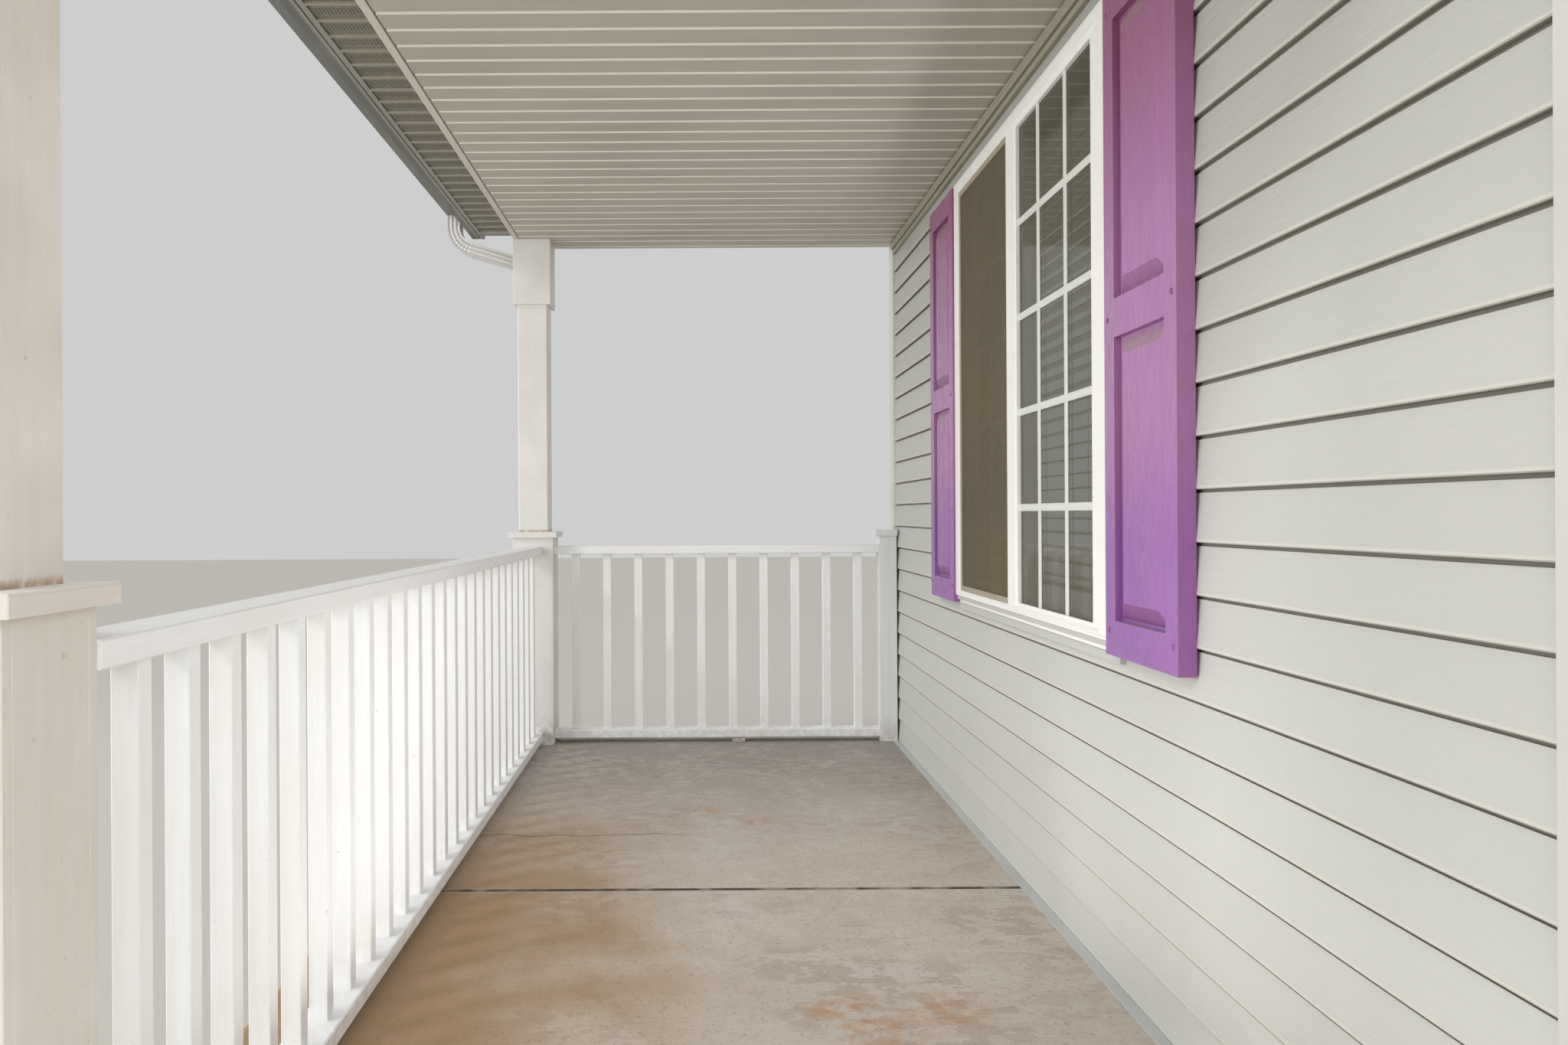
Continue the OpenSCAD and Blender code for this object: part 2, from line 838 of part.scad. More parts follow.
// Front of the gutter from its foot up: a short upright, a belly that swings out
// and a lip, at a distance t inside the outer face
function gutter_front(t) = let (
    reach = (gutter_w - gutter_foot) / 2, low = 22, rise = (gutter_h - low - 12) / 2
) concat(
    [[-gutter_foot + t, t], [-gutter_foot + t, low]],
    [for (a = [15:15:90])
        [-gutter_foot + t - reach * (1 - cos(a)), low + rise * sin(a)]],
    [for (a = [15:15:90])
        [-gutter_foot + t - reach * (1 + sin(a)), low + rise * (2 - cos(a))]],
    [[-gutter_w + t, gutter_h]]
);

function reversed(list) = [for (i = [len(list) - 1:-1:0]) list[i]];

module gutter_section() {
    polygon(concat(
        [[0, 0], [0, gutter_h], [-sheet_t, gutter_h], [-sheet_t, sheet_t]],
        gutter_front(sheet_t), reversed(gutter_front(0))
    ));
}

module gutter_cap_section() {
    polygon(concat([[0, gutter_h], [0, 0]], gutter_front(0)));
}

gutter_far = pipe_x - pipe_wide / 2 - 10;

module gutter() {
    hole_x = pipe_x - pipe_wide / 2 + sheet_t;
    hole_y = outlet_y - pipe_deep / 2 + sheet_t;
    color("#a09a8d") {
        difference() {
            translate([0, gutter_y, gutter_z]) along_x(gutter_far, near_x) gutter_section();
            block(hole_x, hole_x + pipe_wide - 2 * sheet_t, hole_y,
                hole_y + pipe_deep - 2 * sheet_t, gutter_z - 1, gutter_z + sheet_t + 1);
        }
        translate([0, gutter_y, gutter_z]) {
            along_x(gutter_far, gutter_far + sheet_t) gutter_cap_section();
            along_x(near_x - sheet_t, near_x) gutter_cap_section();
        }
    }
}

// The downspout's way in (y, z): out of the gutter's foot, in towards the post,
// down beside it and out again over the ground. side(d) is that way at a distance d
// from the pipe's middle, positive towards the house.

slant_run = (pipe_y - outlet_y - 2 * elbow_r * (1 - cos(elbow_a))) / sin(elbow_a);
bend_top = [outlet_y + elbow_r, gutter_z - outlet_drop];
bend_low = bend_top
    + 2 * elbow_r * [-cos(elbow_a), -sin(elbow_a)]
    + slant_run * [sin(elbow_a), -cos(elbow_a)];
shoe_z = -step_h + shoe_lift + elbow_r * sin(shoe_a) + shoe_run * cos(shoe_a)
    + pipe_deep / 2 * sin(shoe_a);
bend_shoe = [pipe_y - elbow_r, shoe_z];
bend_step = 1 / 6;

function side(d) = concat(
    [[outlet_y + d, gutter_z]],
    [for (i = [0:bend_step:1]) let (a = i * elbow_a)
        bend_top + (elbow_r - d) * [-cos(a), -sin(a)]],
    [for (i = [0:bend_step:1]) let (a = (1 - i) * elbow_a)
        bend_low + (elbow_r + d) * [cos(a), sin(a)]],
    [for (i = [0:bend_step:1]) let (a = i * shoe_a)
        bend_shoe + (elbow_r + d) * [cos(a), -sin(a)]],
    [bend_shoe + (elbow_r + d) * [cos(shoe_a), -sin(shoe_a)]
        + shoe_run * [-sin(shoe_a), -cos(shoe_a)]]
);

module pipe_run(wide, deep) {
    along_x(pipe_x - wide / 2, pipe_x + wide / 2)
        polygon(concat(side(deep / 2), reversed(side(-deep / 2))));
}

module downspout() {
    color("#b7b5b0") difference() {
        pipe_run(pipe_wide, pipe_deep);
        pipe_run(pipe_wide - 2 * sheet_t, pipe_deep - 2 * sheet_t);
    }
}

// A band round the downspout with two legs that reach the post
module strap(z, post_face) {
    play = 0.3;
    band_h = 25;
    in_y = pipe_deep / 2 + play;
    out_x = pipe_x - pipe_wide / 2 - play;
    block(out_x - sheet_t, out_x, pipe_y - in_y - sheet_t, pipe_y + in_y + sheet_t,
        z, z + band_h);
    block(out_x, post_face, pipe_y - in_y - sheet_t, pipe_y - in_y, z, z + band_h);
    block(out_x, post_face, pipe_y + in_y, pipe_y + in_y + sheet_t, z, z + band_h);
}

module downspout_straps() {
    color("#b7b5b0") {
        strap(500, -sleeve_w / 2);
        strap(1650, -shaft_w / 2);
    }
}

placed() porch_slab();
placed() foundation_wall();
placed() house_wall_far();
placed() house_wall_near();
placed() house_wall_below();
placed() house_wall_above();
placed() siding_far();
placed() siding_near();
placed() siding_below();
placed() siding_above();
placed() siding_base_trim();
placed() ceiling_wall_channel();
placed() wall_corner_trim();
placed() door_casing();
placed() window_frame();
placed() fixed_sash();
placed() sliding_sash();
placed() window_glass();
placed() screen_frame();
placed() screen_mesh();
placed() window_sill();
placed() blind_head_rail();
placed() window_inner_trim();
placed() shutter_far();
placed() shutter_near();
placed() corner_post_shaft();
placed() corner_post_sleeve();
placed() corner_post_cap();
placed() corner_post_capital();
placed() near_post_shaft();
placed() near_post_sleeve();
placed() near_post_cap();
placed() near_post_capital();
placed() wall_post();
placed() wall_post_cap();
placed() front_railing();
placed() end_railing();
placed() rail_foot();
placed() porch_ceiling();
placed() eave_soffit();
placed() frieze_board();
placed() end_frieze_board();
placed() porch_beam();
placed() roof_rafters();
placed() roof_deck();
placed() roof_shingles();
placed() wall_flashing();
placed() gable_far();
placed() gable_near();
placed() rake_board();
placed() fascia_board();
placed() gutter();
placed() downspout();
placed() downspout_straps();
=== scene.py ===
"""Looks of a house's front porch, built round its frame.

The frame gives each built piece at its place. This script dresses those pieces and adds what is
too small for them: window bars, the blind, vent holes, screws and nails, roofing tabs, lapped
boards on the far gable, gutter hangers, the fluted downspout and the dirt in the slab's joint.
Lengths are metres. x runs along the porch to its open end, y from the yard to the house, z up.
"""

import logging
import math
from collections.abc import Sequence
from dataclasses import dataclass, field
from enum import Enum
from functools import cache
from typing import Any

import bpy
import numpy as np
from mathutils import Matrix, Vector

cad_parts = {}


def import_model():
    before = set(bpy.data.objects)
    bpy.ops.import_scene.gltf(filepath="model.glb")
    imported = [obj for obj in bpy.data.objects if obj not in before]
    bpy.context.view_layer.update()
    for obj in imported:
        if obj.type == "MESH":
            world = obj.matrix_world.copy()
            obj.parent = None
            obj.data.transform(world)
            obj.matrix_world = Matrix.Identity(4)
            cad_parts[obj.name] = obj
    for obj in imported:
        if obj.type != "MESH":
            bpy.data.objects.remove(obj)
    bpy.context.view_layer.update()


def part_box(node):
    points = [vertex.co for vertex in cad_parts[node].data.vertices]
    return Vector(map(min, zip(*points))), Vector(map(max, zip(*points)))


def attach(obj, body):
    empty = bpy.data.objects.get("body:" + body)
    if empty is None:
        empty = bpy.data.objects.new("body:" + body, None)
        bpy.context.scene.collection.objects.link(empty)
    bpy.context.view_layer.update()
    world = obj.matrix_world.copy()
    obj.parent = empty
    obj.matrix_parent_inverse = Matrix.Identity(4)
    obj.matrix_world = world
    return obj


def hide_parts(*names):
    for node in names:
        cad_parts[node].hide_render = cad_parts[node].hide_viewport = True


log = logging.getLogger("porch")

BODY = "root"
MM = 0.001

# Within this, two places of the frame are the same.
CLOSE = 1e-4

# A floor so low that no splash dirt reaches the timber.
NO_FLOOR = -1.0

Colour = tuple[float, float, float, float]
Socket = bpy.types.NodeSocket
Source = float | tuple | Socket
Triple = tuple[float, float, float]


def linear(code: str) -> Colour:
    """Turn an sRGB hex colour into linear light.

    Args:
        code: Six hex digits.

    Returns:
        Red, green, blue and a full alpha. A channel c becomes ((c + 0.055) / 1.055) to the power
        2.4, or c / 12.92 where it is very dark.
    """
    shares = [int(code[i:i + 2], 16) / 255 for i in (0, 2, 4)]
    light = [((c + 0.055) / 1.055) ** 2.4 if c > 0.04045 else c / 12.92 for c in shares]
    return (*light, 1.0)


class Along(Enum):
    """The way that a grain, a brush or a rolled sheet runs."""

    X = (1.0, 0.0, 0.0)
    Y = (0.0, 1.0, 0.0)
    Z = (0.0, 0.0, 1.0)

    def stretch(self, times: float) -> Triple:
        """Return how much longer a mark is on each axis.

        Args:
            times: Length of a mark along this way, in widths.

        Returns:
            One factor for each axis: 1, or `times` along this way.
        """
        return tuple(1.0 + (times - 1.0) * share for share in self.value)


# Shapes


@dataclass
class Shape:
    """Points and faces of one closed surface or of several.

    Attributes:
        points: Corner places, (n, 3).
        faces: Blocks of faces, each (count, corners), with corners counted from zero.
    """

    points: np.ndarray
    faces: list[np.ndarray]

    def volume(self) -> float:
        """Return the room inside.

        Returns:
            A sixth of the sum of a . (b x c) over the triangles a, b, c that fan out in each
            face.
        """
        total = 0.0
        for block in self.faces:
            first = self.points[block[:, 0]]
            for k in range(1, block.shape[1] - 1):
                second = self.points[block[:, k]]
                third = self.points[block[:, k + 1]]
                total += float(np.sum(first * np.cross(second, third)))
        return total / 6

    def outward(self) -> "Shape":
        """Point the faces outwards.

        Returns:
            The shape, turned round if it was inside out.
        """
        if self.volume() >= 0:
            return self
        return Shape(self.points, [block[:, ::-1] for block in self.faces])

    def at(self, places: np.ndarray) -> "Shape":
        """Return a copy at each place.

        Args:
            places: Offsets of the copies, (m, 3).

        Returns:
            The copies as one shape.
        """
        count = len(self.points)
        points = (self.points[None] + places[:, None]).reshape(-1, 3)
        first = (np.arange(len(places)) * count)[:, None, None]
        return Shape(points, [(block[None] + first).reshape(-1, block.shape[1])
                              for block in self.faces])

    def turned(self, way: Along, angle: float) -> "Shape":
        """Return the shape turned round an axis through the origin.

        Args:
            way: The axis.
            angle: Turn in radians, anticlockwise as seen from the axis's tip.

        Returns:
            The turned shape.
        """
        axis = np.array(way.value)
        cross = np.array([[0, -axis[2], axis[1]], [axis[2], 0, -axis[0]], [-axis[1], axis[0], 0]])
        turn = np.eye(3) + math.sin(angle) * cross + (1 - math.cos(angle)) * cross @ cross
        return Shape(self.points @ turn.T, self.faces)

    @staticmethod
    def together(shapes: list["Shape"]) -> "Shape":
        """Return several shapes as one.

        Args:
            shapes: The shapes.

        Returns:
            The one shape, with corners counted on from shape to shape.
        """
        starts = np.cumsum([0] + [len(shape.points) for shape in shapes[:-1]])
        faces = [block + start for shape, start in zip(shapes, starts) for block in shape.faces]
        return Shape(np.concatenate([shape.points for shape in shapes]), faces)

    @staticmethod
    def tube(rings: np.ndarray) -> "Shape":
        """Close a row of rings into a skin with flat ends.

        Args:
            rings: Places on a grid, (rings, corners round a ring, 3).

        Returns:
            Four-cornered faces between neighbouring rings, and one face on each end.
        """
        rows, around = rings.shape[:2]
        index = np.arange(rows * around).reshape(rows, around)
        low, high = index[:-1], index[1:]
        sides = np.stack([low, np.roll(low, -1, 1), np.roll(high, -1, 1), high], axis=-1)
        ends = np.stack([index[0][::-1], index[-1]])
        return Shape(rings.reshape(-1, 3), [sides.reshape(-1, 4), ends]).outward()

    @staticmethod
    def blocks(low: np.ndarray, high: np.ndarray) -> "Shape":
        """Return upright blocks between pairs of corners.

        Args:
            low: Lowest corners, (n, 3).
            high: Highest corners, of the same shape.

        Returns:
            The blocks as one shape.
        """
        pick = np.array([[0, 0, 0], [1, 0, 0], [1, 1, 0], [0, 1, 0],
                         [0, 0, 1], [1, 0, 1], [1, 1, 1], [0, 1, 1]])
        points = low[:, None] + pick[None] * (high - low)[:, None]
        sides = np.array([[0, 3, 2, 1], [4, 5, 6, 7], [0, 1, 5, 4],
                          [1, 2, 6, 5], [2, 3, 7, 6], [3, 0, 4, 7]])
        first = (np.arange(len(low)) * len(pick))[:, None, None]
        return Shape(points.reshape(-1, 3), [(sides[None] + first).reshape(-1, 4)])

    @staticmethod
    def carried(outline: np.ndarray, way: Along, start: float, end: float) -> "Shape":
        """Carry a flat outline straight along an axis.

        Args:
            outline: Corners on the two other axes, in the order x, y, z, (n, 2).
            way: The axis that it is carried along.
            start: Where it starts on that axis.
            end: Where it ends.

        Returns:
            The bar that it sweeps.
        """
        axis = way.value.index(1.0)
        rings = np.zeros((2, len(outline), 3))
        rings[:, :, [i for i in range(3) if i != axis]] = outline
        rings[:, :, axis] = np.array([start, end])[:, None]
        return Shape.tube(rings)

    @staticmethod
    def dome(radius: float, height: float, around: int, rows: int) -> "Shape":
        """Return a round low head, like a screw's or a nail's, that faces -y.

        Args:
            radius: Radius at the foot.
            height: How far it stands out.
            around: Corners round each ring.
            rows: Rings from foot to top.

        Returns:
            Rings of radius r cos(u) at a distance h sin(u), for u from 0 to nearly a
            quarter turn.
        """
        turn = np.arange(around) * 2 * math.pi / around
        rise = np.linspace(0, 0.46 * math.pi, rows)[:, None]
        rings = np.stack([radius * np.cos(rise) * np.cos(turn),
                          -height * np.sin(rise) * np.ones(around),
                          radius * np.cos(rise) * np.sin(turn)], axis=-1)
        return Shape.tube(rings)

    def piece(self, name: str, finish: "Finish", slot: str) -> bpy.types.Object:
        """Make the shape a piece of the porch.

        Args:
            name: The piece's name.
            finish: Its finish.
            slot: Name of the material slot that the finish belongs to. It is not used.

        Returns:
            The new object. It sits at the origin, with its place in its mesh.
        """
        mesh = bpy.data.meshes.new(name)
        mesh.from_pydata(self.points.tolist(), [],
                         [face for block in self.faces for face in block.tolist()])
        mesh.validate()
        mesh.materials.append(finish.material())
        made = bpy.data.objects.new(name, mesh)
        bpy.context.scene.collection.objects.link(made)
        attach(made, BODY)
        log.info("%s: %d faces", name, len(mesh.polygons))
        return made


def eased(width: float, height: float, ease: float) -> np.ndarray:
    """Return a rectangle round the origin with its corners cut off.

    Args:
        width: Size on the first axis.
        height: Size on the second axis.
        ease: Length cut off each side at each corner.

    Returns:
        Eight corners, (8, 2).
    """
    a, b = width / 2, height / 2
    return np.array([[a - ease, -b], [a, -b + ease], [a, b - ease], [a - ease, b],
                     [ease - a, b], [-a, b - ease], [-a, ease - b], [ease - a, -b]])


def spread(x: float | np.ndarray, y: float | np.ndarray, z: float | np.ndarray) -> np.ndarray:
    """Return places whose coordinates are numbers or arrays, each spread to the same size.

    Args:
        x: Coordinates along the porch.
        y: Coordinates across it.
        z: Heights.

    Returns:
        The places, (n, 3).
    """
    return np.stack(np.broadcast_arrays(x, y, z), -1).reshape(-1, 3)


def corners(node: str) -> np.ndarray:
    """Return the places of a node's corners, (n, 3)."""
    return np.array([corner.co for corner in bpy.data.objects[node].data.vertices])


@dataclass(frozen=True)
class Room:
    """The room that a piece of the frame takes.

    Attributes:
        low: Lowest corner.
        high: Highest corner.
    """

    low: np.ndarray
    high: np.ndarray

    @classmethod
    def of(cls, node: str) -> "Room":
        """Return the room of a node of the frame."""
        low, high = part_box(node)
        return cls(np.array(low), np.array(high))

    @property
    def middle(self) -> np.ndarray:
        """The middle of the room."""
        return (self.low + self.high) / 2

    @property
    def size(self) -> np.ndarray:
        """Its three sizes."""
        return self.high - self.low


# Finishes


class Tree:
    """The shading of one material, on Object coordinates, from its ground colour upwards."""

    def __init__(self, name: str, ground: str, gloss: float = 0.5, **constants: float) -> None:
        """Start a material with one principled surface.

        Args:
            name: The material's name.
            ground: Colour under all the others, as sRGB hex.
            gloss: Strength of its surface reflection.
            constants: Other values that are the same all over, by socket name.
        """
        self.material = bpy.data.materials.new(name)
        self.material.use_nodes = True
        self.nodes = self.material.node_tree.nodes
        self.nodes.clear()
        surface = self.add("ShaderNodeBsdfPrincipled")
        self.surface = surface.node
        for key, value in {"Specular IOR Level": gloss, **constants}.items():
            self.surface.inputs[key].default_value = value
        self.add("ShaderNodeOutputMaterial", inputs={"Surface": surface})
        self.place = self.add("ShaderNodeTexCoord", out="Object")
        self.colour: Source = linear(ground)
        self.normal: Socket | None = None

    def add(self, kind: str, settings: dict[str, Any] | None = None,
            inputs: dict[int | str, Source] | None = None, out: int | str = 0) -> Socket | None:
        """Add one node with its settings and links.

        Args:
            kind: The node's type.
            settings: Values of its properties, by name.
            inputs: Values of its input sockets, or sockets to link to them.
            out: Which output is wanted.

        Returns:
            That output, or None where the node has none.
        """
        node = self.nodes.new(kind)
        for key, value in (settings or {}).items():
            setattr(node, key, value)
        for key, value in (inputs or {}).items():
            self.join(node.inputs[key], value)
        return node.outputs[out] if node.outputs else None

    def join(self, socket: Socket, value: Source) -> None:
        """Link a value to a socket, or set it there where it is plain.

        Args:
            socket: The input socket.
            value: The value.
        """
        if isinstance(value, Socket):
            self.material.node_tree.links.new(value, socket)
        else:
            socket.default_value = value

    def ease(self, value: Socket, low: float, high: float) -> Socket:
        """Return a mask that goes smoothly from 0 at low to 1 at high."""
        return self.add("ShaderNodeMapRange", {"interpolation_type": "SMOOTHSTEP"},
                        {"Value": value, "From Min": low, "From Max": high})

    def vary(self, mask: Socket, low: float, high: float) -> Socket:
        """Return a number that goes from low to high with a mask, such as a roughness."""
        return self.add("ShaderNodeMapRange", None, {"Value": mask, "To Min": low, "To Max": high})

    def overlap(self, one: Source, other: Source) -> Socket:
        """Return the mask where two masks lie over each other, which is their product."""
        return self.add("ShaderNodeMath", {"operation": "MULTIPLY"}, {0: one, 1: other})

    def axis(self, name: str) -> Socket:
        """Return one Object coordinate."""
        return self.add("ShaderNodeSeparateXYZ", None, {"Vector": self.place}, name)

    def height(self, low: float, high: float) -> Socket:
        """Return a mask that goes from 0 at one height to 1 at another."""
        return self.ease(self.axis("Z"), low, high)

    def facing(self, axis: str, low: float, high: float, either: bool = False) -> Socket:
        """Return a mask of the faces that look along an axis.

        Args:
            axis: The axis's letter.
            low: Share of a face's outward direction along it at which the mask is 0.
            high: Share at which the mask is full.
            either: Whether faces that look the opposite way count too.

        Returns:
            The mask.
        """
        normal = self.add("ShaderNodeNewGeometry", out="Normal")
        along = self.add("ShaderNodeSeparateXYZ", None, {"Vector": normal}, axis)
        if either:
            along = self.add("ShaderNodeMath", {"operation": "ABSOLUTE"}, {0: along})
        return self.ease(along, low, high)

    def band(self, value: Socket, middle: float, outer: float, inner: float) -> Socket:
        """Return a mask of a band of values.

        Args:
            value: The value.
            middle: The band's middle.
            outer: Distance from the middle at which the mask starts.
            inner: Distance within which it is full.

        Returns:
            The mask.
        """
        off = self.add("ShaderNodeMath", {"operation": "SUBTRACT"}, {0: value, 1: middle})
        reach = self.add("ShaderNodeMath", {"operation": "ABSOLUTE"}, {0: off})
        return self.ease(reach, outer, inner)

    def near(self, x: float, y: float, radius: float) -> Socket:
        """Return a mask of a soft round patch seen from above.

        Args:
            x: Its middle along the porch.
            y: Its middle across the porch.
            radius: Its radius.

        Returns:
            The mask.
        """
        flat = self.add("ShaderNodeVectorMath", {"operation": "MULTIPLY"},
                        {0: self.place, 1: (1.0, 1.0, 0.0)})
        reach = self.add("ShaderNodeVectorMath", {"operation": "DISTANCE"},
                         {0: flat, 1: (x, y, 0.0)}, "Value")
        return self.ease(reach, radius, 0.2 * radius)

    def spaced(self, size: float, stretch: Triple = (1.0, 1.0, 1.0), shift: float = 0.0) -> Socket:
        """Return coordinates in which a mark of a real size is one unit wide.

        Args:
            size: Size of a mark.
            stretch: How much longer a mark is on each axis.
            shift: Offset, so that two patterns of one size differ.

        Returns:
            The coordinates.
        """
        return self.add("ShaderNodeMapping", None, {
            "Vector": self.place, "Location": (shift, shift * 1.7, shift * 2.3),
            "Scale": tuple(1 / (size * times) for times in stretch)})

    def cloud(self, size: float, detail: float = 2.0, stretch: Triple = (1.0, 1.0, 1.0),
              shift: float = 0.0) -> Socket:
        """Return a soft noise between 0 and 1.

        Args:
            size: About how wide one of its patches is.
            detail: Octaves of finer patches.
            stretch: How much longer a patch is on each axis.
            shift: Offset of the pattern.

        Returns:
            The noise.
        """
        return self.add("ShaderNodeTexNoise", None, {
            "Vector": self.spaced(size, stretch, shift), "Scale": 1.0, "Detail": detail})

    def mottle(self, size: float, low: float = 0.4, high: float = 0.6, detail: float = 3.0,
               stretch: Triple = (1.0, 1.0, 1.0), shift: float = 0.0) -> Socket:
        """Return a mask of soft patches: a noise, eased between two of its values.

        Args:
            size: About how wide a patch is.
            low: Noise value where the mask starts.
            high: Noise value where it is full.
            detail: Octaves of finer patches.
            stretch: How much longer a patch is on each axis.
            shift: Offset of the pattern.

        Returns:
            The mask.
        """
        return self.ease(self.cloud(size, detail, stretch, shift), low, high)

    def cells(self, vector: Socket, out: str = "Color", **settings: str) -> Socket:
        """Part a material into irregular cells.

        Args:
            vector: Coordinates in which a cell is one unit wide.
            out: Color for a random number in each cell, or Distance for that to its middle.
            settings: Settings of the pattern.

        Returns:
            The numbers.
        """
        found = self.add("ShaderNodeTexVoronoi", settings, {"Vector": vector, "Scale": 1.0}, out)
        return found if out == "Distance" else self.add("ShaderNodeSeparateColor", None,
                                                        {"Color": found})

    def specks(self, spacing: float, radius: float, share: float, shift: float = 0.0) -> Socket:
        """Return a mask of small round spots.

        Args:
            spacing: Distance between possible spots.
            radius: Radius of a spot.
            share: Share of the possible spots that are there.
            shift: Offset of the pattern.

        Returns:
            The mask.
        """
        vector = self.spaced(spacing, shift=shift)
        reach = radius / spacing
        spot = self.ease(self.cells(vector, "Distance"), reach, 0.4 * reach)
        return self.overlap(spot, self.ease(self.cells(vector), share, share - 0.02))

    def lay(self, code: str, mask: Source, share: float = 1.0) -> None:
        """Lay a colour over those that are there.

        Args:
            code: The colour, as sRGB hex.
            mask: Where it lies.
            share: How much of it shows where the mask is full.
        """
        amount = self.overlap(mask, share) if share < 1 else mask
        self.colour = self.add("ShaderNodeMix", {"data_type": "RGBA"},
                               {0: amount, 6: self.colour, 7: linear(code)}, 2)

    def relief(self, height: Socket, depth: float) -> None:
        """Raise the surface where a mask is light, on top of what is raised already.

        Args:
            height: The mask.
            depth: Height of a full mask.
        """
        inputs: dict[int | str, Source] = {"Strength": 1.0, "Distance": depth, "Height": height}
        if self.normal is not None:
            inputs["Normal"] = self.normal
        self.normal = self.add("ShaderNodeBump", None, inputs)

    def done(self, roughness: Source, **more: Source) -> bpy.types.Material:
        """Join colour, roughness and relief to the surface.

        Args:
            roughness: Roughness.
            more: Values of other sockets, by name.

        Returns:
            The finished material.
        """
        values = {"Base Color": self.colour, "Roughness": roughness, **more}
        if self.normal is not None:
            values["Normal"] = self.normal
        for key, value in values.items():
            self.join(self.surface.inputs[key], value)
        return self.material


@dataclass(frozen=True)
class Finish:
    """What a surface is made of and how it was made. Equal finishes share one material."""

    @cache
    def material(self) -> bpy.types.Material:
        """Return the finish's material."""
        return self.mix()

    def mix(self) -> bpy.types.Material:
        """Make the finish's material."""
        raise NotImplementedError


@dataclass(frozen=True)
class BroomedConcrete(Finish):
    """Cast concrete, drawn across with a broom while it set and walked on for years.

    It is matt and gritty, with fine drag marks across the walk, sand grains at the surface,
    brown damp patches, pale lime streaks, flakes of worn skin, rust blooms and a grey line
    where water stood.

    Attributes:
        rust_places: Middle x, y and radius of each rust bloom.
        water_line: Where along the porch the water stood.
        joint: Where along the porch the two panels meet.
    """

    colour: str = "cac1b8"
    damp: str = "bfb09f"
    lime: str = "d4cec6"
    shade: str = "96928e"
    worn: str = "a39184"
    yard: str = "9a7c55"
    rust: str = "b9864f"
    grit: str = "857c70"
    puddle: str = "6f685f"
    dark_sand: str = "6b655c"
    pale_sand: str = "d6d1c6"
    lip: str = "bdb3a5"
    dirt: str = "3f352a"
    foot: str = "857b6d"
    drag: float = 4 * MM
    sand: float = 3 * MM
    rust_places: tuple[Triple, ...] = (
        (1.02, 0.45, 0.15), (0.92, 0.38, 0.12), (0.93, 0.62, 0.13), (-0.59, 0.28, 0.09),
        (-0.74, 0.12, 0.08), (1.50, 0.33, 0.22), (1.68, 0.04, 0.20), (1.60, 0.64, 0.20))
    water_line: float = -0.3725
    joint: float = 0.1325

    def mix(self) -> bpy.types.Material:
        """Make the concrete's material.

        Returns:
            The material, laid in the order in which the real slab got its marks.
        """
        tree = Tree("broomed concrete", self.colour, 0.3)
        self.stains(tree)
        self.marks(tree)
        self.joint_dirt(tree)
        foot = tree.overlap(tree.height(0.12, 0.0), tree.mottle(0.08, 0.3, 0.6, shift=2.0))
        tree.lay(self.foot, foot, 0.7)
        tree.relief(tree.mottle(self.drag, 0.3, 0.7, 2.0, Along.Y.stretch(60.0)), 0.5 * MM)
        tree.relief(tree.mottle(self.sand, 0.4, 0.7, 2.0), 0.35 * MM)
        tree.relief(tree.specks(0.02, 2.5 * MM, 0.12, 6.0), -0.8 * MM)
        return tree.done(tree.vary(tree.mottle(0.3, 0.3, 0.7), 0.72, 0.92))

    def stains(self, tree: Tree) -> None:
        """Lay the wide marks: damp, far-end painted shade, lime, worn skin and the yard's soil.

        Args:
            tree: The material's tree.
        """
        along = tree.axis("X")
        tree.lay(self.damp, tree.mottle(0.5, 0.35, 0.68, 4.0), 0.45)
        # Painted shade: the slab darkens towards the far, closed end of the porch.
        tree.lay(self.shade, tree.ease(along, 0.2, -1.9), 0.8)
        scales = tree.overlap(tree.mottle(0.035, 0.46, 0.56, 6.0, (1.0, 1.4, 1.0), 3.0),
                              tree.mottle(0.3, 0.4, 0.55, 3.0, shift=9.0))
        tree.lay(self.lime, scales, 0.28)
        flakes = tree.overlap(tree.mottle(0.045, 0.49, 0.55, 7.0, (1.0, 1.6, 1.0), 31.0),
                              tree.mottle(0.45, 0.42, 0.58, 3.0, shift=33.0))
        tree.lay(self.worn, flakes, 0.4)
        wander = tree.add("ShaderNodeMath", {"operation": "MULTIPLY_ADD"}, {
            0: tree.mottle(0.3, 0.2, 0.8, 4.0, shift=21.0), 1: 0.35, 2: tree.axis("Y")})
        close = tree.overlap(tree.ease(along, -1.6, 0.4), tree.facing("Z", 0.3, 0.8))
        tree.lay(self.yard, tree.overlap(tree.ease(wander, 0.35, -0.35), close), 0.85)

    def marks(self, tree: Tree) -> None:
        """Lay the small marks: grit, rust blooms, the water line and sand grains.

        Args:
            tree: The material's tree.
        """
        tree.lay(self.grit, tree.mottle(0.012, 0.55, 0.72, 4.0, shift=15.0), 0.42)
        bloom = tree.mottle(0.04, 0.38, 0.6, 6.0, shift=5.0)
        for place in self.rust_places:
            tree.lay(self.rust, tree.overlap(tree.near(*place), bloom), 0.5)
        course = tree.add("ShaderNodeMath", {"operation": "MULTIPLY_ADD"},
                          {0: tree.cloud(0.18), 1: 0.10, 2: tree.axis("X")})
        line = tree.band(course, self.water_line, 0.014, 0.002)
        half = tree.ease(tree.axis("Y"), 0.15, -0.15)
        tree.lay(self.puddle, tree.overlap(line, half), 0.55)
        tree.lay(self.dark_sand, tree.specks(self.sand * 5, self.sand, 0.3), 0.6)
        tree.lay(self.pale_sand, tree.specks(self.sand * 4, self.sand * 0.7, 0.25, 4.0), 0.5)

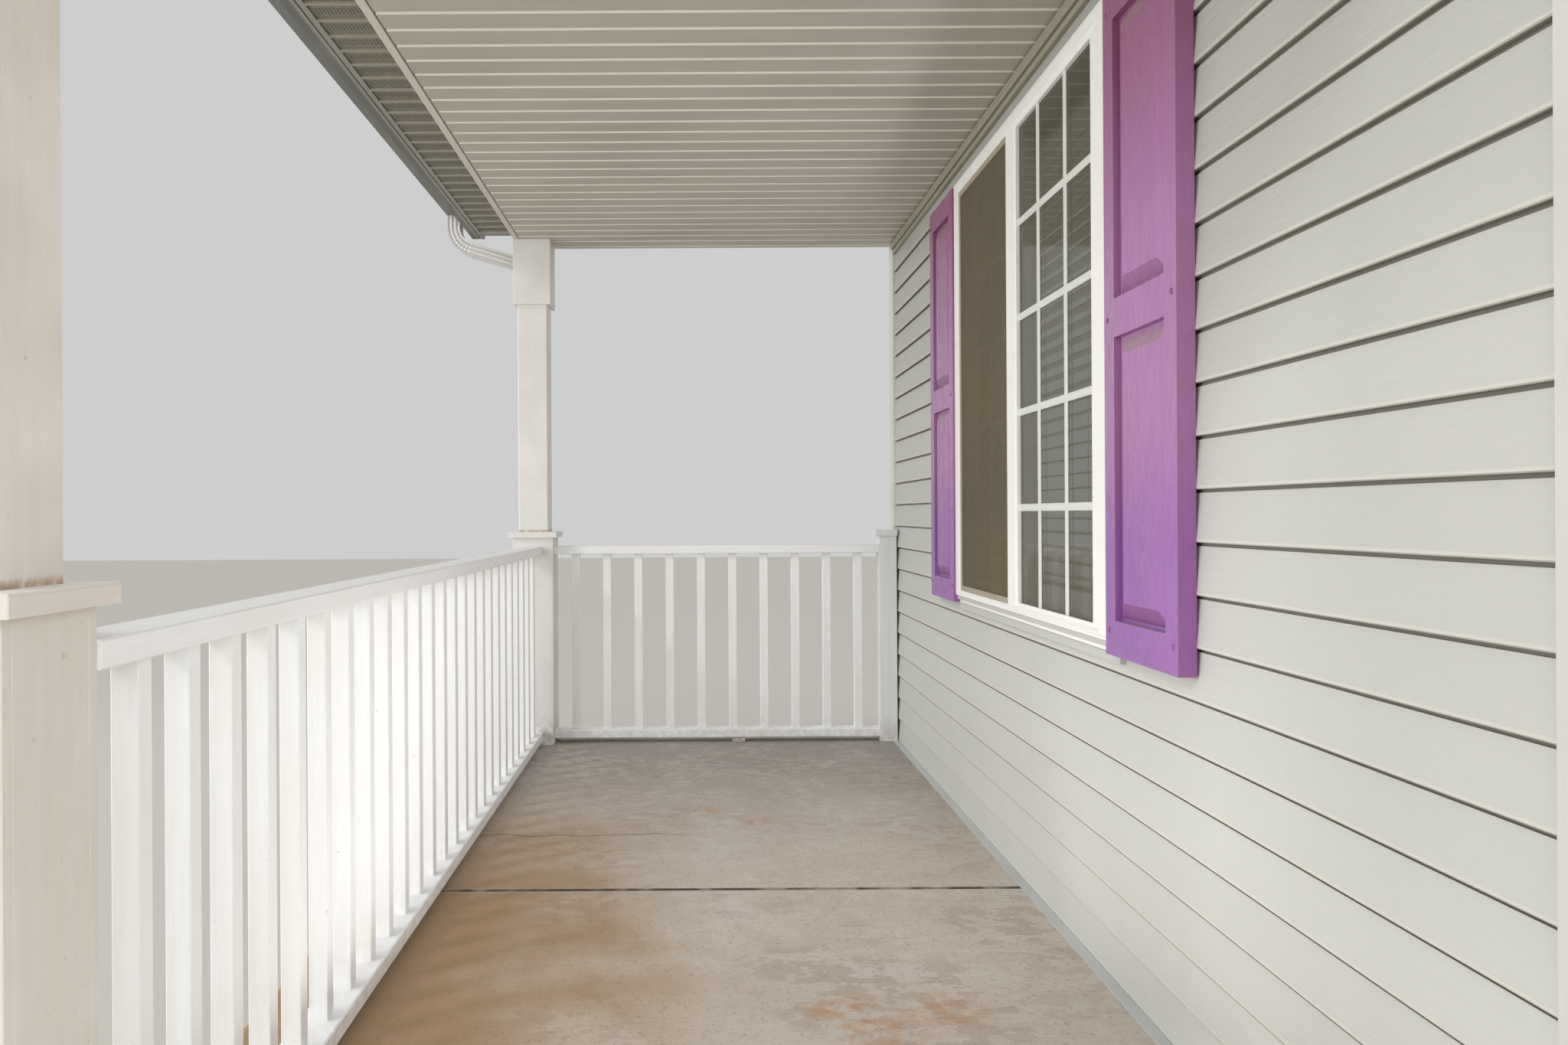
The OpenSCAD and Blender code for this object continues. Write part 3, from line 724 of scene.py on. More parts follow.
    def joint_dirt(self, tree: Tree) -> None:
        """Lay the joint's worn lip, and dirt in it that comes and goes.

        Args:
            tree: The material's tree.
        """
        along = tree.axis("X")
        tree.lay(self.lip, tree.band(along, self.joint, 30 * MM, 14 * MM), 0.15)
        broken = tree.vary(tree.mottle(0.09, 0.35, 0.6, 4.0, shift=25.0), 0.45, 1.0)
        filled = tree.overlap(tree.band(along, self.joint, 13 * MM, 8 * MM), broken)
        tree.lay(self.dirt, filled, 0.95)


@dataclass(frozen=True)
class Render(Finish):
    """Cement coat, trowelled over block and left rough, with damp rising in it."""

    colour: str = "8f8a82"
    pale: str = "a29d93"
    damp: str = "6f6a61"

    def mix(self) -> bpy.types.Material:
        """Make the coat's material.

        Returns:
            The material.
        """
        tree = Tree("trowelled cement coat", self.colour, 0.3)
        tree.lay(self.pale, tree.mottle(0.12, 0.4, 0.65))
        low = tree.overlap(tree.height(0.14, 0.0), tree.mottle(0.1, 0.3, 0.6, shift=3.0))
        tree.lay(self.damp, low)
        tree.relief(tree.mottle(0.05, 0.3, 0.7, 6.0, (3.0, 1.0, 1.0)), 1.5 * MM)
        tree.relief(tree.mottle(3 * MM, 0.4, 0.7), 0.4 * MM)
        return tree.done(0.9)


@dataclass(frozen=True)
class RolledPaint(Finish):
    """Emulsion rolled on a wall board: an even matt skin with the roller's fine stipple."""

    colour: str = "e2ded3"
    thin: str = "d9d5c9"
    stipple: float = 2.5 * MM

    def mix(self) -> bpy.types.Material:
        """Make the paint's material.

        Returns:
            The material.
        """
        tree = Tree("rolled wall paint", self.colour, 0.35)
        tree.lay(self.thin, tree.mottle(0.5, 0.3, 0.75), 0.4)
        tree.relief(tree.mottle(self.stipple, 0.35, 0.65, 2.0), 0.15 * MM)
        return tree.done(tree.vary(tree.mottle(0.02), 0.6, 0.7))


@dataclass(frozen=True)
class EmbossedSiding(Finish):
    """Extruded vinyl siding, embossed with a shallow wood grain that runs along each course.

    It has a low even sheen. Courses differ a little in tone. Rain keeps the lower ones light
    and dust greys the upper ones under the roof. The lower edge of each course carries a
    painted highlight, and the slot under it and the faces that look down carry painted shade.

    Attributes:
        course: Height of a course that shows.
        first: Height at which the first course starts.
        way: The way that the courses run.
    """

    colour: str = "c1c2bd"
    other: str = "b7b8b3"
    chalk: str = "c7c7c1"
    dusty: str = "a2a39d"
    rinsed: str = "d6d9d2"
    splash: str = "abaaa0"
    nose_highlight: str = "d6d5cc"
    grime_and_shade: str = "6a665a"
    grain: float = 3 * MM
    course: float = 101.6 * MM
    first: float = 195 * MM
    way: Along = Along.X

    def mix(self) -> bpy.types.Material:
        """Make the siding's material.

        Returns:
            The material. A course's number is the height over the first one in courses, and
            the rest of that number is the place within the course.
        """
        tree = Tree(f"embossed siding along {self.way.name}", self.colour, 0.4)
        number = tree.add("ShaderNodeMath", {"operation": "MULTIPLY_ADD"},
                          {0: tree.axis("Z"), 1: 1 / self.course, 2: -self.first / self.course})
        whole = tree.add("ShaderNodeMath", {"operation": "FLOOR"}, {0: number})
        tone = tree.add("ShaderNodeTexWhiteNoise", {"noise_dimensions": "1D"}, {"W": whole})
        tree.lay(self.other, tone, 0.4)
        tree.lay(self.chalk, tree.mottle(0.6, 0.4, 0.7, 4.0), 0.4)
        tree.lay(self.dusty, tree.height(1.4, 2.3), 0.5)
        tree.lay(self.rinsed, tree.height(1.3, 0.6), 0.25)
        spray = tree.overlap(tree.height(0.9, 0.2), tree.mottle(0.25, 0.35, 0.7))
        tree.lay(self.splash, spray, 0.12)
        part = tree.add("ShaderNodeMath", {"operation": "FRACT"}, {0: number})
        # Painted highlight: the lower edge of each course is lighter.
        tree.lay(self.nose_highlight, tree.ease(part, 8 * MM / self.course, 5 * MM / self.course), 0.5)
        # Painted shade: the slot under each course and the faces that look down are darker.
        slot = tree.ease(part, 1 - 7.5 * MM / self.course, 1 - 6 * MM / self.course)
        tree.lay(self.grime_and_shade, slot, 0.8)
        tree.lay(self.grime_and_shade, tree.facing("Z", -0.4, -0.8), 0.8)
        ridges = tree.mottle(self.grain, 0.35, 0.65, 3.0, self.way.stretch(45.0))
        tree.relief(ridges, 0.22 * MM)
        tree.relief(tree.mottle(0.012, 0.3, 0.7, 2.0, self.way.stretch(12.0), 5.0), 0.3 * MM)
        return tree.done(tree.vary(ridges, 0.38, 0.52))


@dataclass(frozen=True)
class RolledSheet(Finish):
    """Aluminium sheet, roll-formed after it was enamelled in one even colour.

    Attributes:
        name: The material's name.
        colour: Colour of the enamel.
        way: The way that the sheet ran through the rolls.
    """

    name: str
    colour: str
    way: Along = Along.X
    speck: str = "5e584c"

    def lines(self, tree: Tree) -> Socket:
        """Return the faint lines that the rolls drew."""
        return tree.mottle(2.5 * MM, 0.3, 0.7, 2.0, self.way.stretch(200.0))

    def waves(self, tree: Tree) -> Socket:
        """Return the slight waves of a thin sheet."""
        return tree.mottle(0.09, 0.3, 0.7, 2.0, self.way.stretch(5.0), 4.0)

    def film(self, tree: Tree) -> Socket:
        """Return where dust lies."""
        return tree.mottle(0.16, 0.45, 0.75, 5.0, self.way.stretch(2.0), 8.0)

    def spots(self, tree: Tree) -> None:
        """Lay small dark spots."""
        tree.lay(self.speck, tree.specks(0.035, 1.6 * MM, 0.12), 0.5)


@dataclass(frozen=True)
class CoatedSheet(RolledSheet):
    """Plain enamelled sheet: satin, with draw lines, slight waves and a film of dust.

    Attributes:
        roughness: Roughness where it is smoothest.
        dust: Colour of the dust.
        dusty: How much of the dust shows.
    """

    roughness: float = 0.38
    dust: str = "9c9482"
    dusty: float = 0.3

    def mix(self) -> bpy.types.Material:
        """Make the sheet's material.

        Returns:
            The material.
        """
        tree = Tree(self.name, self.colour, 0.55)
        lines, waves = self.lines(tree), self.waves(tree)
        tree.lay(self.dust, self.film(tree), self.dusty)
        tree.lay(self.dust, lines, 0.12)
        self.spots(tree)
        tree.relief(lines, 0.06 * MM)
        tree.relief(waves, 0.5 * MM)
        return tree.done(tree.vary(waves, self.roughness, self.roughness + 0.12))


@dataclass(frozen=True)
class RibbedSheet(RolledSheet):
    """Soffit sheet in satin enamel, with ribs every few inches.

    Dust has greyed its flats. The ribs' flanks and the ridges' undersides carry a painted
    highlight, so they read as pale lines. Where the sheet meets the frieze, its edge carries
    a painted shade of the gap.

    Attributes:
        ridge: Height of hanging ridges' undersides, or None where the ribs are grooves.
        gap: y up to which the edge carries painted shade, or None.
    """

    way: Along = Along.Y
    dust: str = "8d887c"
    rib_highlight: str = "e6e1d4"
    dark: str = "4c473e"
    ridge: float | None = None
    gap: float | None = None

    def mix(self) -> bpy.types.Material:
        """Make the sheet's material.

        Returns:
            The material.
        """
        tree = Tree(self.name, self.colour)
        waves = self.waves(tree)
        film = tree.mottle(0.3, 0.4, 0.75, 3.0, self.way.stretch(2.0), 8.0)
        tree.lay(self.dust, film, 0.3)
        tree.lay(self.dust, self.lines(tree), 0.08)
        # Painted highlight: faces that look along the porch are lighter.
        tree.lay(self.rib_highlight, tree.facing("X", 0.3, 0.5, either=True), 0.9)
        if self.ridge is not None:
            # Painted highlight on the undersides of the hanging ridges.
            low = tree.height(self.ridge + 3 * MM, self.ridge + 1 * MM)
            tree.lay(self.rib_highlight, low, 0.7)
        if self.gap is not None:
            # Painted shade of the gap at the frieze.
            edge = tree.ease(tree.axis("Y"), self.gap + 1 * MM, self.gap - 1 * MM)
            tree.lay(self.dark, edge, 0.9)
        tree.relief(waves, 0.4 * MM)
        return tree.done(tree.vary(waves, 0.34, 0.46))


@dataclass(frozen=True)
class FoldedTrim(RolledSheet):
    """Enamelled sheet folded round a board: its underside is paler up to a fold line.

    Attributes:
        under: Colour of the pale strip underneath.
        start: y where the pale strip begins.
    """

    dust: str = "857d6c"
    under: str = "cbc6ba"
    start: float = 0.0

    def mix(self) -> bpy.types.Material:
        """Make the sheet's material.

        Returns:
            The material.
        """
        tree = Tree(self.name, self.colour)
        waves = self.waves(tree)
        tree.lay(self.dust, self.film(tree), 0.3)
        inward = tree.ease(tree.axis("Y"), self.start - 1 * MM, self.start + 1 * MM)
        tree.lay(self.under, tree.overlap(tree.facing("Z", -0.6, -0.9), inward), 0.9)
        self.spots(tree)
        tree.relief(waves, 0.4 * MM)
        return tree.done(tree.vary(waves, 0.36, 0.48))


@dataclass(frozen=True)
class PaintedTimber(Finish):
    """Sawn softwood under several coats of brushed white exterior paint.

    It has soft raised grain and brush lines, a warm cast where the old coats show through,
    splash dirt near the floor, small dents and dark specks, and worn spots on the edges. Faces
    that look up carry a painted highlight.

    Attributes:
        name: The material's name.
        way: The way that the grain runs.
        upright: Heights between which it runs up and down instead, as on balusters.
        colour: Colour of the paint.
        warm: Colour where old coats show through.
        top_highlight: Colour of upward faces, a painted highlight.
        floor: Height of the floor that dirt splashes up from.
        foot: Height of the seam that holds dirt, or None.
        splashed: How much of the splash dirt shows.
        grain: Width of a line of the grain.
    """

    name: str
    way: Along = Along.Z
    upright: tuple[float, float] | None = None
    colour: str = "e2ddd6"
    warm: str = "d6cdc0"
    top_highlight: str = "eef0f2"
    streak: str = "d3cabc"
    pale: str = "e9e6e2"
    mud: str = "8d8270"
    seam: str = "a08260"
    scuff: str = "9b9384"
    speck: str = "4a4138"
    dent: str = "a59c8c"
    floor: float = 0.19
    foot: float | None = None
    splashed: float = 0.75
    grain: float = 3.5 * MM

    def streaks(self, tree: Tree, size: float, times: float, shift: float) -> Socket:
        """Return streaks along the timber.

        Args:
            tree: The material's tree.
            size: Width of a streak.
            times: Its length in widths.
            shift: Offset of the pattern.

        Returns:
            The mask. Between the two heights of `upright` the streaks run up and down, as
            the grain of balusters between two rails does.
        """
        level = tree.mottle(size, 0.35, 0.65, 3.0, self.way.stretch(times), shift)
        if self.upright is None:
            return level
        standing = tree.mottle(size, 0.35, 0.65, 3.0, Along.Z.stretch(times), shift)
        low, high = self.upright
        edge = 1 * MM
        inside = tree.overlap(tree.height(low - edge, low), tree.height(high + edge, high))
        return tree.add("ShaderNodeMix", {"data_type": "FLOAT"},
                        {0: inside, 2: level, 3: standing}, 0)

    def mix(self) -> bpy.types.Material:
        """Make the paint's material.

        Returns:
            The material.
        """
        tree = Tree(self.name, self.colour, 0.45)
        grain = self.streaks(tree, self.grain, 30.0, 2.0)
        brush = self.streaks(tree, 1.2 * MM, 60.0, 3.0)
        dents = tree.specks(0.05, 4 * MM, 0.08, 4.0)
        tree.lay(self.warm, self.streaks(tree, 0.02, 14.0, 1.0), 0.25)
        tree.lay(self.streak, grain, 0.08)
        tree.lay(self.pale, tree.mottle(0.3, 0.45, 0.65, shift=11.0), 0.4)
        splash = tree.overlap(tree.height(self.floor + 0.16, self.floor),
                              tree.mottle(0.035, 0.35, 0.62, 5.0, shift=5.0))
        tree.lay(self.mud, splash, self.splashed)
        # Painted highlight: faces that look up are lighter.
        tree.lay(self.top_highlight, tree.facing("Z", 0.5, 0.9), 0.6)
        if self.foot is not None:
            seam = tree.overlap(tree.height(self.foot + 14 * MM, self.foot + 3 * MM),
                                tree.height(self.foot - 2 * MM, self.foot - 1 * MM))
            held = tree.overlap(seam, tree.mottle(0.02, 0.25, 0.6, shift=17.0))
            tree.lay(self.seam, held, 0.8)
        tree.lay(self.scuff, tree.mottle(0.012, 0.68, 0.8, 5.0, shift=13.0), 0.55)
        tree.lay(self.speck, tree.specks(0.06, 1.8 * MM, 0.10), 0.7)
        tree.lay(self.dent, dents, 0.5)
        tree.relief(grain, 0.08 * MM)
        tree.relief(brush, 0.05 * MM)
        tree.relief(dents, -0.5 * MM)
        tree.relief(tree.mottle(0.04, 0.3, 0.7, 2.0, shift=6.0), 0.4 * MM)
        return tree.done(tree.vary(brush, 0.42, 0.58))


@dataclass(frozen=True)
class WindowVinyl(Finish):
    """Extruded window profile of white vinyl: smooth and satin, with a little dust in it.

    Attributes:
        name: The material's name.
        colour: Colour of the vinyl.
        grime_and_shade: Colour of the dust.
        top: Height of a stepped sill's top, or None. Below the top lie painted shade on the
        sloping strip, painted shade in a joint, and a grey lower band.
    """

    name: str = "white window vinyl"
    colour: str = "f2f3f0"
    grime_and_shade: str = "c5c3b9"
    lower: str = "b9bbb7"
    slope: str = "a7a6a0"
    groove: str = "4b4a45"
    top: float | None = None

    def mix(self) -> bpy.types.Material:
        """Make the profile's material.

        Returns:
            The material.
        """
        tree = Tree(self.name, self.colour)
        tree.lay(self.grime_and_shade, tree.mottle(0.05, 0.55, 0.8, 5.0, shift=2.0), 0.15)
        ledge = tree.overlap(tree.facing("Z", 0.5, 0.9), tree.mottle(0.02, 0.3, 0.7, shift=6.0))
        tree.lay(self.grime_and_shade, ledge, 0.5)
        if self.top is not None:
            tree.lay(self.lower, tree.height(self.top - 28 * MM, self.top - 29 * MM), 0.9)
            # Painted shade on the sloping top strip and in the joint between two strips.
            tree.lay(self.slope, tree.height(self.top - 17 * MM, self.top - 15 * MM), 0.75)
            gap = tree.overlap(tree.height(self.top - 30 * MM, self.top - 29 * MM),
                               tree.height(self.top - 26.5 * MM, self.top - 27.5 * MM))
            tree.lay(self.groove, gap, 0.85)
        tree.relief(tree.mottle(0.06, 0.3, 0.7, 2.0), 0.15 * MM)
        return tree.done(tree.vary(tree.mottle(0.03), 0.3, 0.42))


@dataclass(frozen=True)
class WindowGlass(Finish):
    """Float glass before a dim room: smooth and clear, with soft reflections. Its dark olive
    colour, over most of what lies behind, is painted shade of the room and a painted
    reflection of the yard, so it reads dark.

    Streaks of rain dust run down it.
    """

    # Painted shade and painted reflection: the glass's dark olive colour.
    colour: str = "45432f"
    dust: str = "8f938a"
    cover: float = 0.62

    def mix(self) -> bpy.types.Material:
        """Make the glass's material.

        Returns:
            The material.
        """
        tree = Tree("window glass", self.colour, IOR=1.52, Alpha=self.cover)
        film = tree.mottle(0.02, 0.5, 0.8, 4.0, Along.Z.stretch(8.0))
        tree.lay(self.dust, film, 0.12)
        return tree.done(tree.vary(film, 0.03, 0.09))


@dataclass(frozen=True)
class InsectScreen(Finish):
    """Woven glass-fibre screen in a dark coat: a fine matt net that one sees through dimly.

    The real threads are 1.4 mm apart, too fine to show, so they are drawn 5 mm apart.
    """

    colour: str = "776d58"
    haze: str = "6a6152"
    thread: float = 5 * MM
    cover: float = 0.6

    def mix(self) -> bpy.types.Material:
        """Make the screen's material.

        Returns:
            The material, whose net is the higher of two waves at right angles.
        """
        tree = Tree("woven insect screen", self.colour, 0.2)
        # A wave texture of scale s repeats every 0.1 pi / s.
        wave = 0.1 * math.pi / self.thread
        up, across = (tree.add("ShaderNodeTexWave", {"bands_direction": way},
                               {"Vector": tree.place, "Scale": wave}, 1) for way in ("X", "Z"))
        net = tree.add("ShaderNodeMath", {"operation": "MAXIMUM"}, {0: up, 1: across})
        tree.lay(self.haze, tree.mottle(0.25, 0.3, 0.7, 4.0, Along.Z.stretch(2.0)), 0.6)
        tree.relief(net, 0.3 * MM)
        return tree.done(0.8, Alpha=tree.vary(net, self.cover - 0.1, self.cover + 0.08))


@dataclass(frozen=True)
class MouldedShutter(Finish):
    """Injection-moulded polypropylene shutter, coloured through and embossed with wood grain.

    The grain runs up its stiles and panels in long loops, the level lines of a drawn-out
    noise, and gives a soft broken sheen. Its colour by height is painted light and shade:
    violet at the foot, lighter in the middle and deep plum at the top under the roof. The
    narrow sides and the faces that look down carry painted shade, and dust greys the upper
    bevels.

    Attributes:
        turns: Heights between which the low colour turns to the middle one, and that to the
            high one.
        rings: How many lines of the figure lie between the noise's lowest and highest value.
    """

    colour: str = "ac7cae"
    high: str = "8b5272"
    low: str = "9465ab"
    deep: str = "8a4a78"
    bleached: str = "b98bb4"
    side: str = "84466c"
    under: str = "6f3560"
    chalk: str = "a7a08f"
    turns: tuple[float, float, float, float] = (1.15, 1.5, 1.75, 2.4)
    grain: float = 2.6 * MM
    rings: float = 9.0

    def mix(self) -> bpy.types.Material:
        """Make the shutter's material.

        Returns:
            The material.
        """
        tree = Tree("moulded purple shutter", self.low)
        grain = tree.mottle(self.grain, 0.35, 0.65, 3.0, Along.Z.stretch(28.0))
        wander = tree.cloud(0.05, 2.0, Along.Z.stretch(6.0), 5.0)
        rings = tree.add("ShaderNodeMath", {"operation": "MULTIPLY_ADD"},
                         {0: wander, 1: self.rings, 2: 0.0})
        figure = tree.ease(tree.add("ShaderNodeMath", {"operation": "PINGPONG"},
                                    {0: rings, 1: 0.5}), 0.1, 0.4)
        # Painted light and shade by height: lighter in the middle, deep plum at the top.
        tree.lay(self.colour, tree.height(*self.turns[:2]))
        tree.lay(self.high, tree.height(*self.turns[2:]), 0.85)
        tree.lay(self.deep, grain, 0.14)
        tree.lay(self.deep, figure, 0.1)
        tree.lay(self.bleached, tree.mottle(0.35, 0.35, 0.7, shift=3.0), 0.12)
        # Painted shade on the narrow sides.
        tree.lay(self.side, tree.facing("X", 0.3, 0.8, either=True), 0.3)
        # Painted shade on faces that look down.
        tree.lay(self.under, tree.facing("Z", -0.1, -0.3), 0.5)
        worn = tree.overlap(tree.facing("Z", 0.15, 0.5),
                            tree.mottle(0.03, 0.25, 0.6, 4.0, shift=8.0))
        tree.lay(self.chalk, worn, 0.75)
        tree.relief(grain, 0.08 * MM)
        tree.relief(figure, 0.08 * MM)
        return tree.done(tree.vary(figure, 0.36, 0.5))


@dataclass(frozen=True)
class SawnTimber(Finish):
    """Framing softwood from the saw: pale, with straight grain and a rough matt face."""

    colour: str = "c9ae80"
    late: str = "a8824f"
    grey: str = "8d8474"
    way: Along = Along.X

    def mix(self) -> bpy.types.Material:
        """Make the timber's material.

        Returns:
            The material.
        """
        tree = Tree(f"sawn softwood along {self.way.name}", self.colour, 0.3)
        grain = tree.mottle(5 * MM, 0.4, 0.62, 4.0, self.way.stretch(40.0))
        tree.lay(self.late, grain, 0.6)
        tree.lay(self.grey, tree.mottle(0.3, 0.45, 0.75, shift=4.0), 0.4)
        tree.relief(grain, 0.3 * MM)
        return tree.done(0.8)


@dataclass(frozen=True)
class StrandBoard(Finish):
    """Roof board pressed from wide wood strands that lie every way in shades of straw."""

    colour: str = "b8985f"
    brown: str = "8d6c3d"
    strand: float = 30 * MM

    def mix(self) -> bpy.types.Material:
        """Make the board's material.

        Returns:
            The material.
        """
        tree = Tree("strand board", self.colour, 0.3)
        tone = tree.cells(tree.spaced(self.strand, (2.2, 1.0, 1.0)), distance="MANHATTAN")
        tree.lay(self.brown, tone, 0.7)
        tree.relief(tone, 0.5 * MM)
        return tree.done(0.75)


@dataclass(frozen=True)
class MineralShingle(Finish):
    """Felt shingle with crushed stone rolled into its tar: rough, matt and many-coloured.

    Grains are 1.5 mm across, and are drawn 4 mm across so that they show. Each tab has a tone
    of its own, kept in the attribute `tone`.
    """

    dark: str = "474340"
    light: str = "746b60"
    pale_stone: str = "9a9084"
    black_stone: str = "2f2c2a"
    weathered: str = "6a6a5c"
    grain: float = 4 * MM

    def mix(self) -> bpy.types.Material:
        """Make the shingles' material.

        Returns:
            The material.
        """
        tree = Tree("mineral shingle", self.dark, 0.2)
        tone = tree.add("ShaderNodeAttribute", {"attribute_name": "tone"}, out="Fac")
        tree.lay(self.light, tone)
        stone = tree.cells(tree.spaced(self.grain))
        tree.lay(self.pale_stone, tree.ease(stone, 0.7, 0.85), 0.6)
        tree.lay(self.black_stone, tree.ease(stone, 0.3, 0.12), 0.7)
        tree.lay(self.weathered, tree.mottle(0.4, 0.5, 0.8, 5.0, (1.0, 3.0, 1.0)), 0.4)
        tree.relief(stone, 0.8 * MM)
        return tree.done(0.95)


@dataclass(frozen=True)
class Plain(Finish):
    """A small part's coat: enamel, cord or rust over metal, even but for slight mottling.

    Attributes:
        name: The material's name.
        colour: Its colour.
        other: Colour of its patches.
        roughness: Roughness between the patches.
        size: About how wide a patch is.
    """

    name: str
    colour: str
    other: str
    roughness: float = 0.4
    size: float = 0.01

    def mix(self) -> bpy.types.Material:
        """Make the coat's material.

        Returns:
            The material.
        """
        tree = Tree(self.name, self.colour)
        patches = tree.mottle(self.size, 0.4, 0.7, 4.0)
        tree.lay(self.other, patches, 0.6)
        tree.relief(patches, 0.1 * MM)
        return tree.done(tree.vary(patches, self.roughness, self.roughness + 0.15))


@dataclass(frozen=True)
class FloorPaint(Finish):
    """The studio floor's plain matt paint."""

    colour: str

    def mix(self) -> bpy.types.Material:
        """Return the paint's material."""
        return Tree("pale floor", self.colour, 0.1).done(0.9)


def dress(finish: Finish, *names: str) -> None:
    """Give nodes of the frame their finish.

    Args:
        finish: The finish.
        names: The nodes' names.
    """
    material = finish.material()
    for name in names:
        node = bpy.data.objects[name]
        if not node.material_slots:
            node.data.materials.append(material)
        for holder in node.material_slots:
            holder.material = material
        log.info("%s: %s", name, material.name)


# Sub-assemblies


class Part:
    """One sub-assembly: it dresses its nodes of the frame, and may add pieces of its own."""

    def dress(self) -> None:
        """Give the sub-assembly's nodes their finishes."""
        raise NotImplementedError

    def build(self) -> None:
        """Add the sub-assembly's own pieces, where it has any."""


@dataclass
class Slab(Part):
    """The concrete floor in two panels, with the dirt that fills the joint between them.

    Attributes:
        drop: Depth of the dirt's middle level under the floor.
        rise: How far it goes up and down from there.
        depth: Depth of the filling's underside.
        rows: Steps along the joint.
    """

    drop: float = 13 * MM
    rise: float = 6 * MM
    depth: float = 60 * MM
    rows: int = 160

    def build(self) -> None:
        """Add the joint's filling. Its top is a sum of three sines along the joint."""
        room = Room.of("porch_slab")
        places = corners("porch_slab")
        margin = 0.1
        gap = places[(np.abs(places[:, 2] - room.low[2]) < CLOSE)
                     & (places[:, 0] > room.low[0] + margin)
                     & (places[:, 0] < room.high[0] - margin)]
        x0, x1 = gap[:, 0].min(), gap[:, 0].max()
        along = np.linspace(room.low[1] + 12 * MM, room.high[1], self.rows)
        wave = np.sin(along * 61) + np.sin(along * 143 + 1.3) + np.sin(along * 307 + 0.4)
        top = room.high[2] - self.drop + self.rise * wave / 3
        foot = room.high[2] - self.depth
        rings = [spread(x, along, z) for x, z in (
            (x0, foot), (x1, foot), (x1, top), ((x0 + x1) / 2, top + 1 * MM), (x0, top))]
        filling = Plain("joint dirt", "4a4138", "6b5f50", 0.85, 0.02)
        Shape.tube(np.stack(rings, axis=1)).piece("slab_joint_filling", filling, "slab_concrete")

    def dress(self) -> None:
        """Give slab and foundation their finishes."""
        dress(BroomedConcrete(), "porch_slab")
        dress(Render(), "foundation_wall")


@dataclass
class Posts(Part):
    """The two boxed posts and the half post on the wall.

    Attributes:
        nail_radius: Radius of a nail head.
        nail_height: How far it stands out.
        nail_inset: Distance of the nails from a face's edges.
        front: Heights of the nails on the faces to the yard, over the foot of each part.
        end: The same on the faces to the open end.
    """

    nail_radius: float = 3.5 * MM
    nail_height: float = 0.8 * MM
    nail_inset: float = 22 * MM
    front: dict[str, tuple[float, ...]] = field(default_factory=lambda: {
        "sleeve": (0.06, 0.34, 0.64, 0.92), "capital": (0.05, 0.26)})
    end: dict[str, tuple[float, ...]] = field(default_factory=lambda: {
        "sleeve": (0.07, 0.35, 0.65, 0.91), "capital": (0.06, 0.25)})

    def nails(self, axis: int, rows: dict[str, tuple[float, ...]]) -> np.ndarray:
        """Return where the nails are on one face of each sleeve and capital.

        Args:
            axis: The level axis along the face: 0 to the yard, 1 to the open end.
            rows: Heights of its rows over the foot of each part.

        Returns:
            The places, two to a row, near the face's edges.
        """
        found = []
        for post in ("corner_post", "near_post"):
            for part, rises in rows.items():
                room = Room.of(f"{post}_{part}")
                edge = (room.low[1], room.high[0])[axis]
                sides = (room.low[axis] + self.nail_inset, room.high[axis] - self.nail_inset)
                found += [(edge, side, z) if axis else (side, edge, z)
                          for z in room.low[2] + np.array(rises) for side in sides]
        return np.array(found)

    def build(self) -> None:
        """Add the nail heads of sleeves and capitals, painted over."""
        paint = Plain("painted nail head", "ddd6c8", "a69d8c", 0.5)
        head = Shape.dome(self.nail_radius, self.nail_height, 10, 3)
        turned = head.turned(Along.Z, math.pi / 2)
        head.at(self.nails(0, self.front)).piece("post_nail_heads", paint, "painted_wood")
        turned.at(self.nails(1, self.end)).piece("post_nail_heads_end", paint, "painted_wood")

    def dress(self) -> None:
        """Give the posts their paint."""
        foot = float(Room.of("corner_post_cap").high[2])
        # The near post gets a darker, warmer copy of the corner post's white paint: painted shade.
        for post, colour, warm in (("corner_post", "d8d7d4", "d0ccc4"),
                                   ("near_post", "d6d0c8", "cbc2b6")):
            paint = PaintedTimber(f"painted {post}", colour=colour, warm=warm, foot=foot)
            dress(paint, *(f"{post}_{part}" for part in ("shaft", "sleeve", "capital")))
            dress(PaintedTimber(f"painted {post} cap", Along.X, colour=colour, warm=warm,
                                floor=NO_FLOOR), f"{post}_cap")
        half = PaintedTimber("painted wall post", colour="dfe2e5", warm="d2d4d6", splashed=0.4)
        dress(half, "wall_post", "wall_post_cap")


@dataclass
class Railings(Part):
    """The front and the end railing."""

    rail: float = 38 * MM

    def dress(self) -> None:
        """Give each railing its paint, with upright grain between its rails."""
        for name, way in (("front_railing", Along.X), ("end_railing", Along.Y)):
            room = Room.of(name)
            span = (float(room.low[2] + self.rail), float(room.high[2] - self.rail))
            dress(PaintedTimber(f"painted {name}", way, span, "eef0f1", "e2e1de", splashed=0.25),
                  name)
        dress(PaintedTimber("painted foot"), "rail_foot")


@dataclass
class Wall(Part):
    """The sided house wall with its trims."""

    parts: tuple[str, ...] = ("far", "near", "below", "above")

    def dress(self) -> None:
        """Give wall, siding and trims their finishes."""
        dress(EmbossedSiding(), *(f"siding_{part}" for part in self.parts))
        dress(RolledPaint(), *(f"house_wall_{part}" for part in self.parts))
        dress(CoatedSheet("base trim enamel", "c3c6c7", dust="a5a39b", dusty=0.35),
              "siding_base_trim")
        dress(CoatedSheet("channel enamel", "9c9887"), "ceiling_wall_channel")
        for name, node, colour, dust in (("trim", "wall_corner_trim", "dcdbd5", "b9b5a9"),
                                         ("casing", "door_casing", "cdcdc8", "b1aea4")):
            dress(CoatedSheet(f"{name} enamel", colour, Along.Z, roughness=0.4, dust=dust,
                              dusty=0.2), node)


